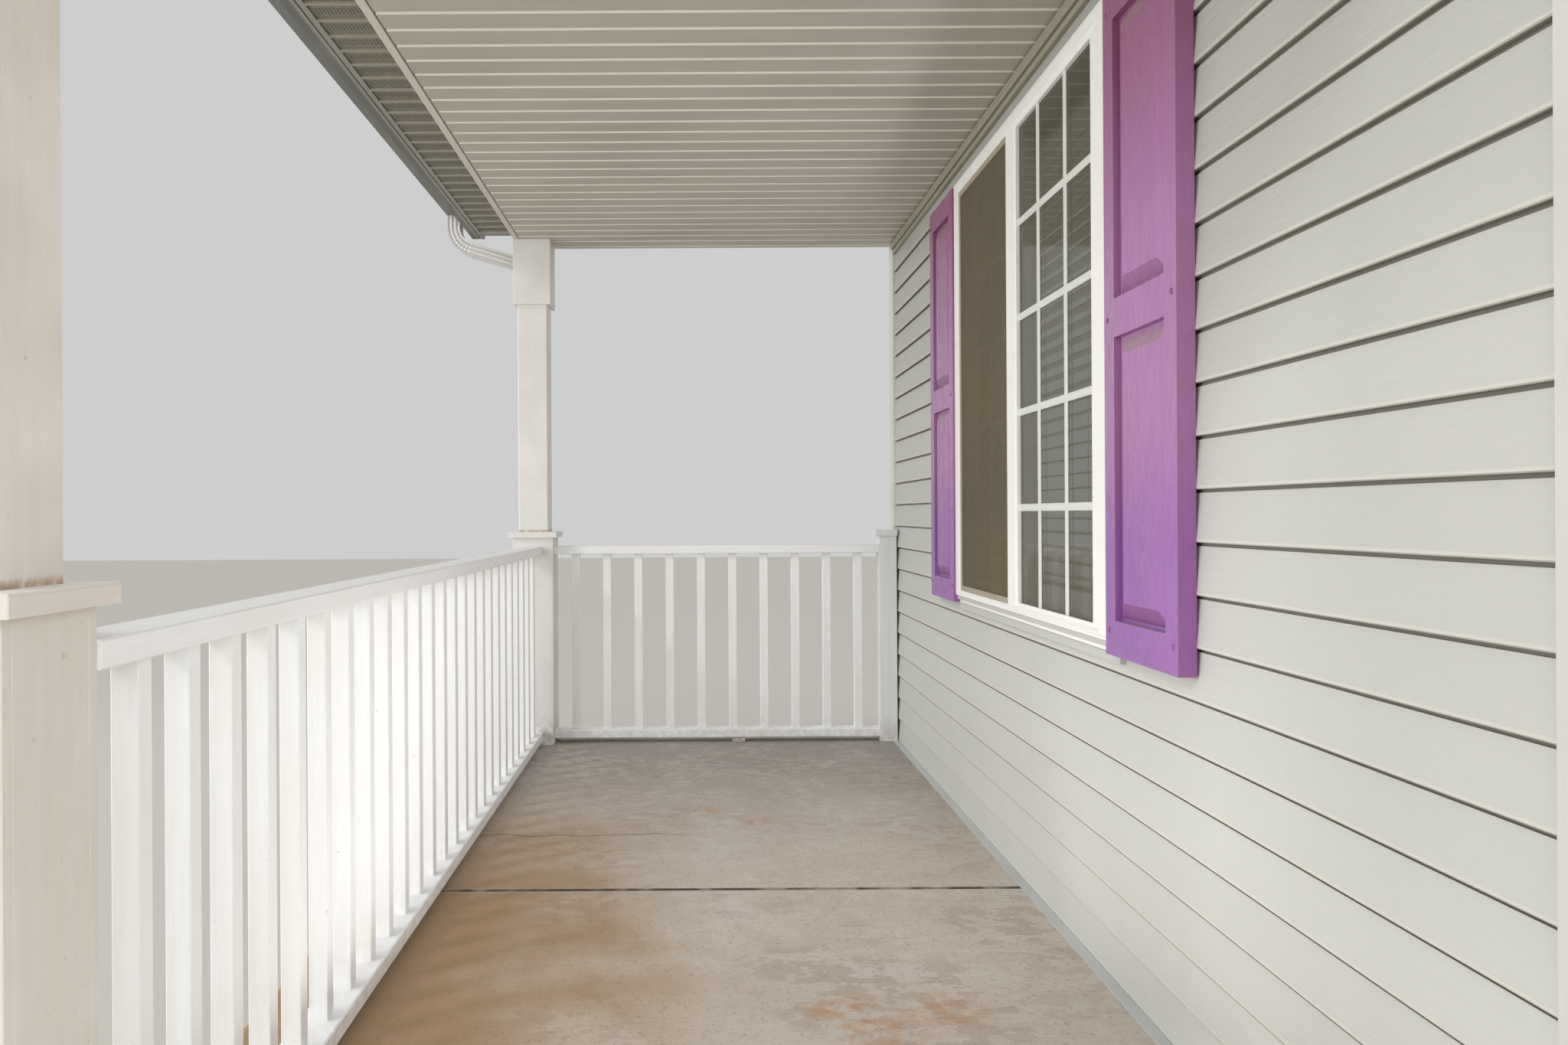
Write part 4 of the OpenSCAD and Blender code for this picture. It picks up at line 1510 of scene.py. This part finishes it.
@dataclass
class Window(Part):
    """The slider window with its grid bars and the blind behind it.

    Attributes:
        uprights: Where the upright bars stand, as shares of a pane's width.
        rows: Rows of panes that the level bars part.
        bar: Width of a bar.
        bar_depth: Its thickness.
        lock: Depth, width and step of the profile between the two sashes.
        slat: Width of a slat of the blind.
        slat_thick: Its thickness.
        slat_crown: Height of its arc.
        slat_pitch: Distance between two slats.
        slat_tilt: How far they are turned, in degrees.
        cord: Thickness of the blind's cords.
        foot: Width and height of its bottom rail.
    """

    uprights: tuple[float, ...] = (0.305, 0.669)
    rows: int = 5
    bar: float = 21 * MM
    bar_depth: float = 5 * MM
    lock: Triple = (40 * MM, 7 * MM, 3 * MM)
    slat: float = 46 * MM
    slat_thick: float = 3.2 * MM
    slat_crown: float = 2.2 * MM
    slat_pitch: float = 41 * MM
    slat_tilt: float = 5.0
    cord: float = 2 * MM
    foot: tuple[float, float] = (34 * MM, 14 * MM)

    def panes(self) -> dict[str, Room]:
        """Return the room of each pane.

        Returns:
            The rooms by name. The near pane stands farther out than the far one.
        """
        points = corners("window_glass")
        split = (points[:, 1].min() + points[:, 1].max()) / 2
        parts = {"near": points[points[:, 1] < split], "far": points[points[:, 1] > split]}
        return {name: Room(part.min(0), part.max(0)) for name, part in parts.items()}

    def grid(self, pane: Room) -> Shape:
        """Return the bars that lie on the outside of a pane.

        Args:
            pane: The pane's room.

        Returns:
            Flat bars with eased edges: uprights where they stand in the real window, and
            level ones at even shares of the pane's height. The level ones are a trace
            thinner, so that no two faces lie in one plane where bars cross.
        """
        y = pane.low[1] - self.bar_depth / 2
        outline = eased(self.bar, self.bar_depth, 1.5 * MM)
        xs = pane.low[0] + pane.size[0] * np.array(self.uprights)
        zs = pane.low[2] + pane.size[2] * np.arange(1, self.rows) / self.rows
        up = Shape.carried(outline, Along.Z, pane.low[2], pane.high[2])
        flat = Shape.carried(outline[:, ::-1] * 0.98, Along.X, pane.low[0], pane.high[0])
        return Shape.together([up.at(spread(xs, y, 0.0)), flat.at(spread(0.0, y, zs))])

    def blind(self) -> tuple[Shape, Shape, Shape]:
        """Return the blind, which hangs under its head rail.

        Returns:
            Its slats, its cords and its bottom rail. A slat's section is a shallow arc of
            constant thickness, z = crown (1 - (2y / w)^2), turned by the tilt.
        """
        rail = Room.of("blind_head_rail")
        drop = rail.low[2] - Room.of("sliding_sash").low[2]
        y = rail.middle[1]
        x0, x1 = rail.low[0] + 6 * MM, rail.high[0] - 6 * MM
        across = np.linspace(-1, 1, 9)
        arc = self.slat_crown * (1 - across ** 2)
        top = np.stack([across * self.slat / 2, arc + self.slat_thick / 2], -1)
        under = np.stack([across * self.slat / 2, arc - self.slat_thick / 2], -1)[::-1]
        slat = Shape.carried(np.concatenate([top, under]), Along.X, x0, x1)
        slat = slat.turned(Along.X, math.radians(self.slat_tilt))
        number = np.arange(int((drop - 40 * MM) / self.slat_pitch))
        heights = rail.low[2] - 20 * MM - self.slat_pitch * number
        slats = slat.at(spread(0.0, y, heights + np.sin(number * 2.3) * 0.6 * MM))
        foot = heights[-1] - self.slat_pitch * 0.7
        reach = self.slat / 2 * math.cos(math.radians(self.slat_tilt)) - self.cord / 2
        spots = np.array([(x, y + side * reach, 0.0) for x in np.linspace(x0 + 0.12, x1 - 0.12, 4)
                          for side in (-1, 1)])
        cord = Shape.carried(eased(self.cord, self.cord, self.cord * 0.3), Along.Z, foot,
                             rail.low[2])
        bottom = Shape.carried(eased(*self.foot, 4 * MM), Along.X, x0, x1)
        return slats, cord.at(spots), bottom.at(spread(0.0, y, foot))

    def interlock(self) -> Shape:
        """Return the ribbed profile that closes the gap between the two sashes.

        Returns:
            The profile. Its section runs from the back of the fixed sash's stile past the
            sliding sash's, in steps that show as upright lines through the near pane.
        """
        sash, fixed = Room.of("sliding_sash"), Room.of("fixed_sash")
        deep, wide, step = self.lock
        y = fixed.high[1] + 1 * MM
        x = sash.high[0] + 0.5 * MM
        marks = np.array([0.0, 0.2, 0.2, 0.34, 0.34, 0.62, 0.62, 0.72, 0.72, 1.0])
        outs = np.array([0, 0, 1, 1, 0, 0, 1, 1, 0, 0]) * step
        front = np.stack([x + wide + outs, y + marks * (deep + 16 * MM)], -1)
        back = np.array([[x, front[-1, 1]], [x, y]])
        return Shape.carried(np.concatenate([front, back]), Along.Z, sash.low[2] + 20 * MM,
                             sash.high[2] - 20 * MM)

    def build(self) -> None:
        """Add bars, blind and the profile between the sashes."""
        # Bars greyer than the frame: painted shade, and the tint of the glass they lie behind.
        vinyl = WindowVinyl("white grid bar", "d9dcd8")
        for name, pane in self.panes().items():
            self.grid(pane).piece(f"window_bars_{name}", vinyl, "window_frame")
        lock = WindowVinyl("shaded window vinyl", "f0edd8", "cdc8ab")
        self.interlock().piece("window_interlock", lock, "window_frame")
        enamel = Plain("blind enamel", "f1efe6", "e4e0d4", 0.35, 0.2)
        cloth = Plain("blind cord", "dcd7ca", "c4bdac", 0.8)
        for name, finish, shape in zip(("slats", "cords", "bottom_rail"), (enamel, cloth, enamel),
                                       self.blind()):
            shape.piece(f"blind_{name}", finish, "blind_rail")

    def dress(self) -> None:
        """Give the window its finishes."""
        dress(WindowVinyl(), "window_frame", "fixed_sash")
        top = float(Room.of("window_sill").high[2])
        # The sill's sloping strip and a joint in it carry painted shade.
        dress(WindowVinyl("shaded dusty window sill", top=top), "window_sill")
        # Painted shade: the sash behind the glass gets a darker, warmer copy of the vinyl.
        dress(WindowVinyl("shaded sash vinyl", "ddd6c4"), "sliding_sash")
        dress(WindowGlass(), "window_glass")
        dress(InsectScreen(), "screen_mesh")
        dress(CoatedSheet("screen frame enamel", "a39a88", Along.Z), "screen_frame")
        dress(Plain("head rail enamel", "e9e6dc", "d9d4c6", 0.35, 0.2), "blind_head_rail")
        dress(PaintedTimber("painted inner trim", Along.X, floor=NO_FLOOR), "window_inner_trim")


@dataclass
class Shutters(Part):
    """The two moulded shutters with the screws that hold them.

    Attributes:
        screw: Radius of a screw's head.
        screw_height: How far it stands out.
        stile: Distance of the screws from a shutter's sides.
        rises: Their heights over its foot.
    """

    screw: float = 6.5 * MM
    screw_height: float = 3 * MM
    stile: float = 22 * MM
    rises: tuple[float, ...] = (0.055, 0.743, 1.42)

    def build(self) -> None:
        """Add the screws, with heads in the shutters' own colour."""
        head = Shape.dome(self.screw, self.screw_height, 14, 5)
        spots = []
        for name in ("shutter_far", "shutter_near"):
            room = Room.of(name)
            for x in (room.low[0] + self.stile, room.high[0] - self.stile):
                spots += [(x, room.low[1], room.low[2] + rise) for rise in self.rises]
        paint = Plain("purple screw head", "84417a", "9c5a92", 0.35)
        head.at(np.array(spots)).piece("shutter_screws", paint, "shutter_panel")

    def dress(self) -> None:
        """Give both shutters their colour."""
        dress(MouldedShutter(), "shutter_far", "shutter_near")


@dataclass
class Ceiling(Part):
    """The ribbed ceiling, the eave's vented soffit and the friezes.

    Attributes:
        rib: Distance between two ridges of the soffit.
        rib_first: Where its first ridge is.
        ridge: How far the ridges hang.
        hole: Radius of a vent hole.
        hole_pitch: Distance between two holes across the soffit, and between two rows.
        hole_rows: Rows of holes in a panel.
        rim: Distance of the outermost holes from the soffit's edges.
    """

    rib: float = 101.6 * MM
    rib_first: float = 23 * MM
    ridge: float = 6 * MM
    hole: float = 2.6 * MM
    hole_pitch: float = 10 * MM
    hole_rows: int = 4
    rim: float = 14 * MM

    def holes(self) -> Shape:
        """Return the vent holes of the eave soffit.

        Returns:
            Thin dark discs just under the sheet, painted shade of the space behind the holes.
            They stand in rows along every panel between two ridges, and each line across a panel
            is set off by a third of a pitch.
        """
        room = Room.of("eave_soffit")
        ribs = int((room.size[0] - self.rib_first) / self.rib)
        middles = room.low[0] + self.rib_first + self.rib * (np.arange(ribs) + 0.5)
        rows = (np.arange(self.hole_rows) - (self.hole_rows - 1) / 2) * self.hole_pitch
        count = int((room.size[1] - 2 * self.rim) / self.hole_pitch) + 1
        ys = room.low[1] + self.rim + self.hole_pitch * np.arange(count)
        x, row, y = np.meshgrid(middles, rows, ys, indexing="ij")
        slant = (np.arange(count) % 3 - 1) * self.hole_pitch / 3
        turn = np.arange(6) * math.pi / 3
        ring = np.stack([self.hole * np.cos(turn), self.hole * np.sin(turn)], -1)
        disc = Shape.carried(ring, Along.Z, -0.3 * MM, 0.3 * MM)
        return disc.at(spread(x + row + slant, y, room.low[2] + self.ridge))

    def build(self) -> None:
        """Add the vent holes."""
        # Painted shade: dark discs stand for holes through which only shade shows.
        dark = Plain("vent hole", "2c2924", "3a352d", 0.9)
        self.holes().piece("soffit_vent_holes", dark, "soffit_sheet")

    def dress(self) -> None:
        """Give the sheets their enamel."""
        front = float(Room.of("porch_ceiling").low[1])
        dress(RibbedSheet("ceiling enamel", "aea99d", gap=front + 6 * MM), "porch_ceiling")
        hang = float(Room.of("eave_soffit").low[2])
        dress(RibbedSheet("soffit enamel", "706d5e", rib_highlight="a39e8f", ridge=hang), "eave_soffit")
        start = float(Room.of("frieze_board").low[1])
        frieze = FoldedTrim("frieze enamel", "b4ad9f", under="cbc6ba", start=start)
        dress(frieze, "frieze_board", "end_frieze_board")


@dataclass
class Eave(Part):
    """Fascia, gutter with its hangers, and the fluted downspout.

    Attributes:
        wide: Width of the pipe along the porch.
        deep: Its depth.
        radius: Radius of its bends, at its middle.
        turn: Angle of the two upper bends, in degrees.
        shoe_turn: Angle of the bend at its foot, in degrees.
        shoe_run: Straight length after that bend.
        drop: Straight length under the gutter.
        flute: Depth of the flutes.
        skin: Thickness of its sheet.
        pleat: Depth of the pleats in the bends.
        pleat_pitch: Distance between two pleats.
        step: Distance between two rings of the mesh in a bend.
        hanger_pitch: Distance between two gutter hangers.
        hanger: Width and thickness of a hanger.
    """

    wide: float = 83 * MM
    deep: float = 60 * MM
    radius: float = 110 * MM
    turn: float = 73.0
    shoe_turn: float = 60.0
    shoe_run: float = 50 * MM
    drop: float = 57 * MM
    flute: float = 3.2 * MM
    skin: float = 3 * MM
    pleat: float = 1.6 * MM
    pleat_pitch: float = 15 * MM
    step: float = 2.5 * MM
    hanger_pitch: float = 0.6
    hanger: tuple[float, float] = (26 * MM, 2 * MM)

    def outline(self) -> np.ndarray:
        """Return the pipe's section: a rectangle whose sides are fluted.

        Returns:
            Places on the section. A side's points lie inward by flute * sin^2(n pi u), where
            u goes from 0 to 1 along the side and n is 4 on a wide side and 3 on a narrow one.
        """
        u = np.linspace(0, 1, 25)[:-1]
        kinds = ((self.wide, self.deep, 4), (self.deep, self.wide, 3))
        sides = []
        for quarter in range(4):
            length, across, flutes = kinds[quarter % 2]
            inward = self.flute * np.sin(flutes * math.pi * u) ** 2
            flat = np.stack([(u - 0.5) * length, inward - across / 2], -1)
            c, s = math.cos(quarter * math.pi / 2), math.sin(quarter * math.pi / 2)
            sides.append(flat @ np.array([[c, s], [-s, c]]))
        return np.concatenate(sides)

    def path(self, room: Room) -> tuple[np.ndarray, np.ndarray, np.ndarray]:
        """Return the pipe's way down.

        Args:
            room: The room of the frame's plain pipe.

        Returns:
            Places (y, z) along the way, close together in the bends, the heading at each, as
            an angle from straight down towards the house, and its turn in the row of pleats,
            a whole number of turns in each bend and none on the straights.
        """
        turn, shoe = math.radians(self.turn), math.radians(self.shoe_turn)
        start = room.low[1] + self.deep / 2
        across = room.high[1] - self.deep / 2 - start
        slant = (across - 2 * self.radius * (1 - math.cos(turn))) / math.sin(turn)
        end = room.low[2] + self.deep / 2 * math.sin(shoe)
        used = (self.drop + 2 * self.radius * math.sin(turn) + slant * math.cos(turn)
                + self.radius * math.sin(shoe) + self.shoe_run * math.cos(shoe))
        down = room.high[2] - end - used
        lengths = np.array([self.drop, self.radius * turn, slant, self.radius * turn, down,
                            self.radius * shoe, self.shoe_run])
        bends = np.array([0, 1, 0, -1, 0, -1, 0]) / self.radius
        marks = np.concatenate([[0], np.cumsum(lengths)])
        bent = bends != 0
        counts = np.where(bent, np.ceil(lengths / self.step), 1).astype(int)
        part = np.append(np.repeat(np.arange(len(lengths)), counts), len(lengths) - 1)
        share = np.append(np.concatenate([np.arange(n) / n for n in counts]), 1.0)
        way = marks[part] + share * lengths[part]
        turned = np.concatenate([[0], np.cumsum(lengths * bends)])
        heading = turned[part] + (way - marks[part]) * bends[part]
        middle = (heading[1:] + heading[:-1]) / 2
        stride = np.diff(way)
        y = start + np.concatenate([[0], np.cumsum(stride * np.sin(middle))])
        z = room.high[2] - np.concatenate([[0], np.cumsum(stride * np.cos(middle))])
        pleats = np.round(lengths / self.pleat_pitch) * bent
        return np.stack([y, z], -1), heading, 2 * math.pi * pleats[part] * share

    def pipe(self) -> Shape:
        """Return the downspout.

        Returns:
            Its section carried down the path, pleated in the bends, with its bore inside.
        """
        room = Room.of("downspout")
        places, heading, phase = self.path(room)
        pleats = 1 - self.pleat / self.deep * (1 - np.cos(phase))
        side = np.stack([np.cos(heading), np.sin(heading)], -1)

        def rings(size: float) -> np.ndarray:
            """Carry the section down the path.

            Args:
                size: Factor that it is made smaller by.

            Returns:
                A ring at each place.
            """
            around = (self.outline() * size)[None] * pleats[:, None, None]
            yz = places[:, None] + around[:, :, 1:2] * side[:, None]
            return np.concatenate([room.middle[0] + around[:, :, 0:1], yz], -1)

        outer, bore = rings(1.0), rings(1 - self.skin / self.deep)[::-1]
        return Shape.tube(np.concatenate([outer, bore, outer[:1]]))

    def hangers(self) -> Shape:
        """Return the straps that hold the gutter's lip, at an even pitch.

        Returns:
            Level blocks from the lip to the gutter's back.
        """
        room = Room.of("gutter")
        count = int(room.size[0] / self.hanger_pitch)
        xs = room.low[0] + room.size[0] * (np.arange(count) + 0.5) / count
        wide, thick = self.hanger
        top = room.high[2] - 9 * MM
        return Shape.blocks(spread(xs - wide / 2, room.low[1] + 3 * MM, top - thick),
                            spread(xs + wide / 2, room.high[1] - 2 * MM, top))

    def build(self) -> None:
        """Add the pipe in place of the frame's plain one, its screws and the hangers."""
        sheet = CoatedSheet("downspout enamel", "cfcecc", Along.Z, roughness=0.36, dust="aba598")
        pipe = self.pipe().piece("downspout_pipe", sheet, "downspout_sheet")
        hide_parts("downspout")
        self.hangers().piece("gutter_hangers", sheet, "gutter_sheet")
        straps = Room.of("downspout_straps")
        head = Shape.dome(4 * MM, 2 * MM, 10, 4)
        spots = [(straps.middle[0] + side * 20 * MM, straps.low[1], z)
                 for side in (-1, 1) for z in (straps.low[2] + 12 * MM, straps.high[2] - 12 * MM)]
        head.at(np.array(spots)).piece("strap_screws", sheet, "downspout_sheet")

    def dress(self) -> None:
        """Give fascia, gutter and straps their enamel."""
        fold = float(Room.of("fascia_board").high[1]) - 34 * MM
        dress(FoldedTrim("fascia enamel", "5e5f5b", under="8d8b82", start=fold), "fascia_board")
        dress(CoatedSheet("rake enamel", "938d80", roughness=0.36), "rake_board")
        dress(CoatedSheet("gutter enamel", "6e706f", roughness=0.34, dust="7d7565", dusty=0.4),
              "gutter")
        dress(CoatedSheet("strap enamel", "c4c2be"), "downspout_straps")


@dataclass
class Roof(Part):
    """The lean-to roof: its tabs, its gables' lapped boards and its timber.

    Attributes:
        exposure: How much of a row of shingles shows.
        tab: Width of a tab with its slot.
        slot: Width of a slot.
        butt: Thickness of a tab's lower edge.
        thin: Thickness of its upper edge.
        overhang: How far the first row stands over the deck.
        course: Height of a gable's board.
        board: Thickness of a board's lower edge.
        board_top: Thickness of its upper edge.
        seed: Start of the random draws.
    """

    exposure: float = 143 * MM
    tab: float = 305 * MM
    slot: float = 8 * MM
    butt: float = 9 * MM
    thin: float = 3 * MM
    overhang: float = 18 * MM
    course: float = 101.6 * MM
    board: float = 11 * MM
    board_top: float = 3 * MM
    seed: int = 7

    def slope(self) -> tuple[np.ndarray, np.ndarray, float]:
        """Return the line up the roof.

        Returns:
            A place (y, z) on the deck's top at the eave, the way up and the length.
        """
        deck = corners("roof_deck")
        low = deck[deck[:, 1] < deck[:, 1].min() + CLOSE]
        high = deck[deck[:, 1] > deck[:, 1].max() - CLOSE]
        start = np.array([low[0, 1], low[:, 2].max()])
        end = np.array([high[0, 1], high[:, 2].max()])
        run = float(np.linalg.norm(end - start))
        return start, (end - start) / run, run

    def tabs(self) -> tuple[Shape, np.ndarray]:
        """Return the shingles.

        Returns:
            The shingles, and a tone for each of their corners. Every tab is a wedge, thick at
            its lower edge. Rows lie one exposure apart up the slope, and each row is shifted
            by half a tab. A slot parts two tabs.
        """
        start, way, run = self.slope()
        out = np.array([-way[1], way[0]])
        room = Room.of("roof_shingles")
        chance = np.random.default_rng(self.seed)
        found, tones = [], []
        for row in range(int((run + self.overhang) / self.exposure) + 1):
            foot = row * self.exposure - self.overhang
            head = min(foot + self.exposure, run)
            if head - foot < 5 * MM:
                break
            first = room.low[0] - self.tab * (0.5 if row % 2 else 1.0)
            left = np.arange(first, room.high[0], self.tab)
            x0 = np.maximum(left + self.slot / 2, room.low[0])
            x1 = np.minimum(left + self.tab - self.slot / 2, room.high[0])
            keep = x1 - x0 > 10 * MM
            count = int(keep.sum())
            lower = foot + chance.uniform(0, 2.5 * MM, count)
            thick = self.butt + chance.uniform(-0.8, 0.8, count) * MM
            upper, flat = np.full(count, head), np.zeros(count)
            along = np.stack([lower, upper, upper, lower], -1)[:, :, None]
            lift = np.stack([flat, flat, flat + self.thin, thick], -1)[:, :, None]
            yz = start + along * way + lift * out
            ends = [np.concatenate([np.broadcast_to(x[keep, None, None], along.shape), yz], -1)
                    for x in (x0, x1)]
            found.append(np.concatenate(ends, 1))
            tones.append(np.repeat(chance.uniform(0, 1, count), 8))
        places = np.concatenate(found)
        sides = np.array([[0, 1, 2, 3], [7, 6, 5, 4], [0, 4, 5, 1],
                          [1, 5, 6, 2], [2, 6, 7, 3], [3, 7, 4, 0]])
        first = (np.arange(len(places)) * 8)[:, None, None]
        shape = Shape(places.reshape(-1, 3), [(sides[None] + first).reshape(-1, 4)])
        return shape.outward(), np.concatenate(tones)

    def felt(self) -> Shape:
        """Return the felt that shows in the slots.

        Returns:
            A thin sheet under all the tabs.
        """
        start, way, run = self.slope()
        lift = np.array([-way[1], way[0]]) * self.thin * 0.7
        foot, head = start - way * self.overhang * 0.9, start + way * run
        room = Room.of("roof_shingles")
        section = np.array([foot, head, head + lift, foot + lift])
        return Shape.carried(section, Along.X, room.low[0] + 1 * MM, room.high[0] - 1 * MM)

    def boards(self) -> Shape:
        """Return the lapped boards on the far gable's outer face.

        Returns:
            Wedge-shaped courses, each cut off along the roof's slope at the yard's side.
        """
        room = Room.of("gable_far")
        start, way, _ = self.slope()
        under = start[1] - 20 * MM
        face = room.low[0]
        found = []
        for number in range(int(room.size[2] / self.course) + 1):
            z0 = room.low[2] + number * self.course
            z1 = min(z0 + self.course, room.high[2] - 4 * MM)
            y0, y1 = (max(room.low[1], start[0] + (z - under) / way[1] * way[0]) + 3 * MM
                      for z in (z0, z1))
            if z1 - z0 < 10 * MM or max(y0, y1) > room.high[1] - 20 * MM:
                break
            low = [(face, y0, z0), (face - self.board, y0, z0),
                   (face - self.board_top, y1, z1), (face, y1, z1)]
            high = [(x, room.high[1], z) for x, _, z in low]
            found.append(Shape.tube(np.array([low, high])))
        return Shape.together(found)

    def build(self) -> None:
        """Add tabs, felt and the far gable's boards."""
        shape, tones = self.tabs()
        tabs = shape.piece("roof_tabs", MineralShingle(), "shingle")
        tone = tabs.data.attributes.new("tone", "FLOAT", "POINT")
        tone.data.foreach_set("value", tones.astype(np.float32))
        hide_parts("roof_shingles")
        self.felt().piece("roof_felt", Plain("roofing felt", "2b2927", "3a3733", 0.9), "shingle")
        siding = EmbossedSiding(way=Along.Y, first=0.0)
        self.boards().piece("gable_boards_far", siding, "lap_siding")

    def dress(self) -> None:
        """Give the roof's timber, sheets and gables their finishes."""
        dress(SawnTimber(way=Along.Y), "roof_rafters")
        dress(SawnTimber(), "porch_beam")
        dress(StrandBoard(), "roof_deck")
        dress(CoatedSheet("flashing enamel", "8c8b86", roughness=0.4), "wall_flashing")
        dress(EmbossedSiding(way=Along.Y), "gable_far", "gable_near")


def stand(data: bpy.types.ID, columns: Sequence[Sequence[float]]) -> bpy.types.Object:
    """Put a camera or a lamp in the scene.

    Args:
        data: The camera or lamp, whose name the object gets.
        columns: The ways that its right, its top and its back face, and its place.

    Returns:
        The new object.
    """
    made = bpy.data.objects.new(data.name, data)
    for j, column in enumerate(columns):
        for i, value in enumerate(column):
            made.matrix_world[i][j] = float(value)
    bpy.context.scene.collection.objects.link(made)
    return made


@dataclass(frozen=True)
class Lamp:
    """A soft lamp that the camera doesn't see.

    Attributes:
        name: The lamp's name.
        energy: Its strength.
        place: Where it hangs.
        towards: A place that it shines at.
        size: Side of an area lamp in metres, or angle of a sun in radians.
        kind: AREA or SUN.
    """

    name: str
    energy: float
    place: Triple
    towards: Triple
    size: float
    kind: str = "AREA"

    def hang(self) -> None:
        """Put the lamp in the scene, with its back away from what it shines at."""
        data = bpy.data.lights.new(self.name, self.kind)
        data.energy = self.energy
        setattr(data, "angle" if self.kind == "SUN" else "size", self.size)
        back = np.array(self.place) - np.array(self.towards)
        back = back / np.linalg.norm(back)
        right = np.cross((0.0, 0.0, 1.0), back)
        right = right / np.linalg.norm(right)
        stand(data, (right, np.cross(back, right), back, self.place)).visible_camera = False


@dataclass
class Studio:
    """Plain soft light, a pale floor and the camera where the photograph was taken from.

    Attributes:
        eye: The camera's place.
        roll: How far the picture's level lines rise to the right, in degrees.
        focal: Focal length in pixels of a picture that is `width` wide.
        centre: Pixel that the camera's axis meets.
        sensor: Width of the camera's sensor in millimetres.
        floor: Colour of the floor.
        half: Half the floor's side.
        sky: Colour of the light from all round.
        sky_light: Its strength.
        backdrop: Colour that stands behind the porch.
        lamps: The lamps: a weak sun, fills from the yard, the open end and the house, and
            light that floor and wall throw back under the roof.
    """

    eye: Triple = (3.3755, 0.076, 1.270)
    roll: float = 0.32
    focal: float = 1470.0
    width: float = 2048.0
    height: float = 1365.0
    centre: tuple[float, float] = (909.5, 672.0)
    sensor: float = 36.0
    floor: str = "c0beb9"
    half: float = 30.0
    sky: str = "f1f0ed"
    sky_light: float = 0.92
    backdrop: str = "cdcecd"
    lamps: tuple[Lamp, ...] = (
        Lamp("soft sun", 0.70, (0.62, -0.95, 0.75), (0.0, 0.0, 0.0), math.radians(12), "SUN"),
        Lamp("yard fill", 265.0, (1.6, -6.6, 1.4), (0.2, 0.6, 1.2), 4.0),
        Lamp("open end fill", 92.0, (7.5, -0.8, 3.2), (-1.0, 0.2, 1.0), 4.0),
        Lamp("room fill", 46.0, (4.6, 2.0, 1.9), (0.6, -0.7, 0.9), 2.0),
        Lamp("floor bounce", 9.5, (0.9, 0.1, 0.25), (0.5, 0.15, 2.5), 1.2),
        Lamp("wall bounce", 5.2, (-0.4, 0.86, 1.45), (-0.5, -0.8, 1.4), 1.8))

    def camera(self) -> None:
        """Place the camera: it looks along -x, and its shift gives the picture's framing."""
        data = bpy.data.cameras.new("photograph")
        data.sensor_width = self.sensor
        data.lens = self.focal * self.sensor / self.width
        data.shift_x = (self.width / 2 - self.centre[0]) / self.width
        data.shift_y = (self.centre[1] - self.height / 2) / self.width
        c, s = math.cos(math.radians(self.roll)), math.sin(math.radians(self.roll))
        columns = ((0.0, c, -s), (0.0, s, c), (1.0, 0.0, 0.0), self.eye)
        bpy.context.scene.camera = stand(data, columns)

    def ground(self) -> None:
        """Lay the pale floor under the porch."""
        h = self.half
        mesh = bpy.data.meshes.new("floor")
        mesh.from_pydata([(-h, -h, 0), (h, -h, 0), (h, h, 0), (-h, h, 0)], [], [(0, 1, 2, 3)])
        mesh.materials.append(FloorPaint(self.floor).material())
        floor = bpy.data.objects.new("floor", mesh)
        bpy.context.scene.collection.objects.link(floor)

    def sky_dome(self) -> None:
        """Light the porch evenly from all round, before a pale backdrop."""
        world = bpy.data.worlds.new("studio")
        bpy.context.scene.world = world
        world.use_nodes = True
        nodes, links = world.node_tree.nodes, world.node_tree.links
        nodes.clear()
        path = nodes.new("ShaderNodeLightPath")
        seen = path.outputs["Is Camera Ray"]
        for kind in ("Is Glossy Ray", "Is Transmission Ray"):
            either = nodes.new("ShaderNodeMath")
            either.operation = "MAXIMUM"
            links.new(seen, either.inputs[0])
            links.new(path.outputs[kind], either.inputs[1])
            seen = either.outputs[0]
        mix, out = nodes.new("ShaderNodeMixShader"), nodes.new("ShaderNodeOutputWorld")
        links.new(seen, mix.inputs[0])
        for slot, colour, strength in ((1, self.sky, self.sky_light), (2, self.backdrop, 1.0)):
            light = nodes.new("ShaderNodeBackground")
            light.inputs["Color"].default_value = linear(colour)
            light.inputs["Strength"].default_value = strength
            links.new(light.outputs[0], mix.inputs[slot])
        links.new(mix.outputs[0], out.inputs["Surface"])

    def build(self) -> None:
        """Set the whole studio up."""
        bpy.context.scene.view_settings.view_transform = "Standard"
        self.camera()
        self.ground()
        self.sky_dome()
        for lamp in self.lamps:
            lamp.hang()


def main() -> None:
    """Build the porch's looks, one sub-assembly after another."""
    logging.basicConfig(level=logging.INFO, format="%(name)s %(message)s")
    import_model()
    Studio().build()
    for part in (Slab(), Posts(), Railings(), Wall(), Window(), Shutters(), Ceiling(), Eave(),
                 Roof()):
        log.info("sub-assembly %s", type(part).__name__)
        part.dress()
        part.build()


if __name__ == "__main__":
    main()
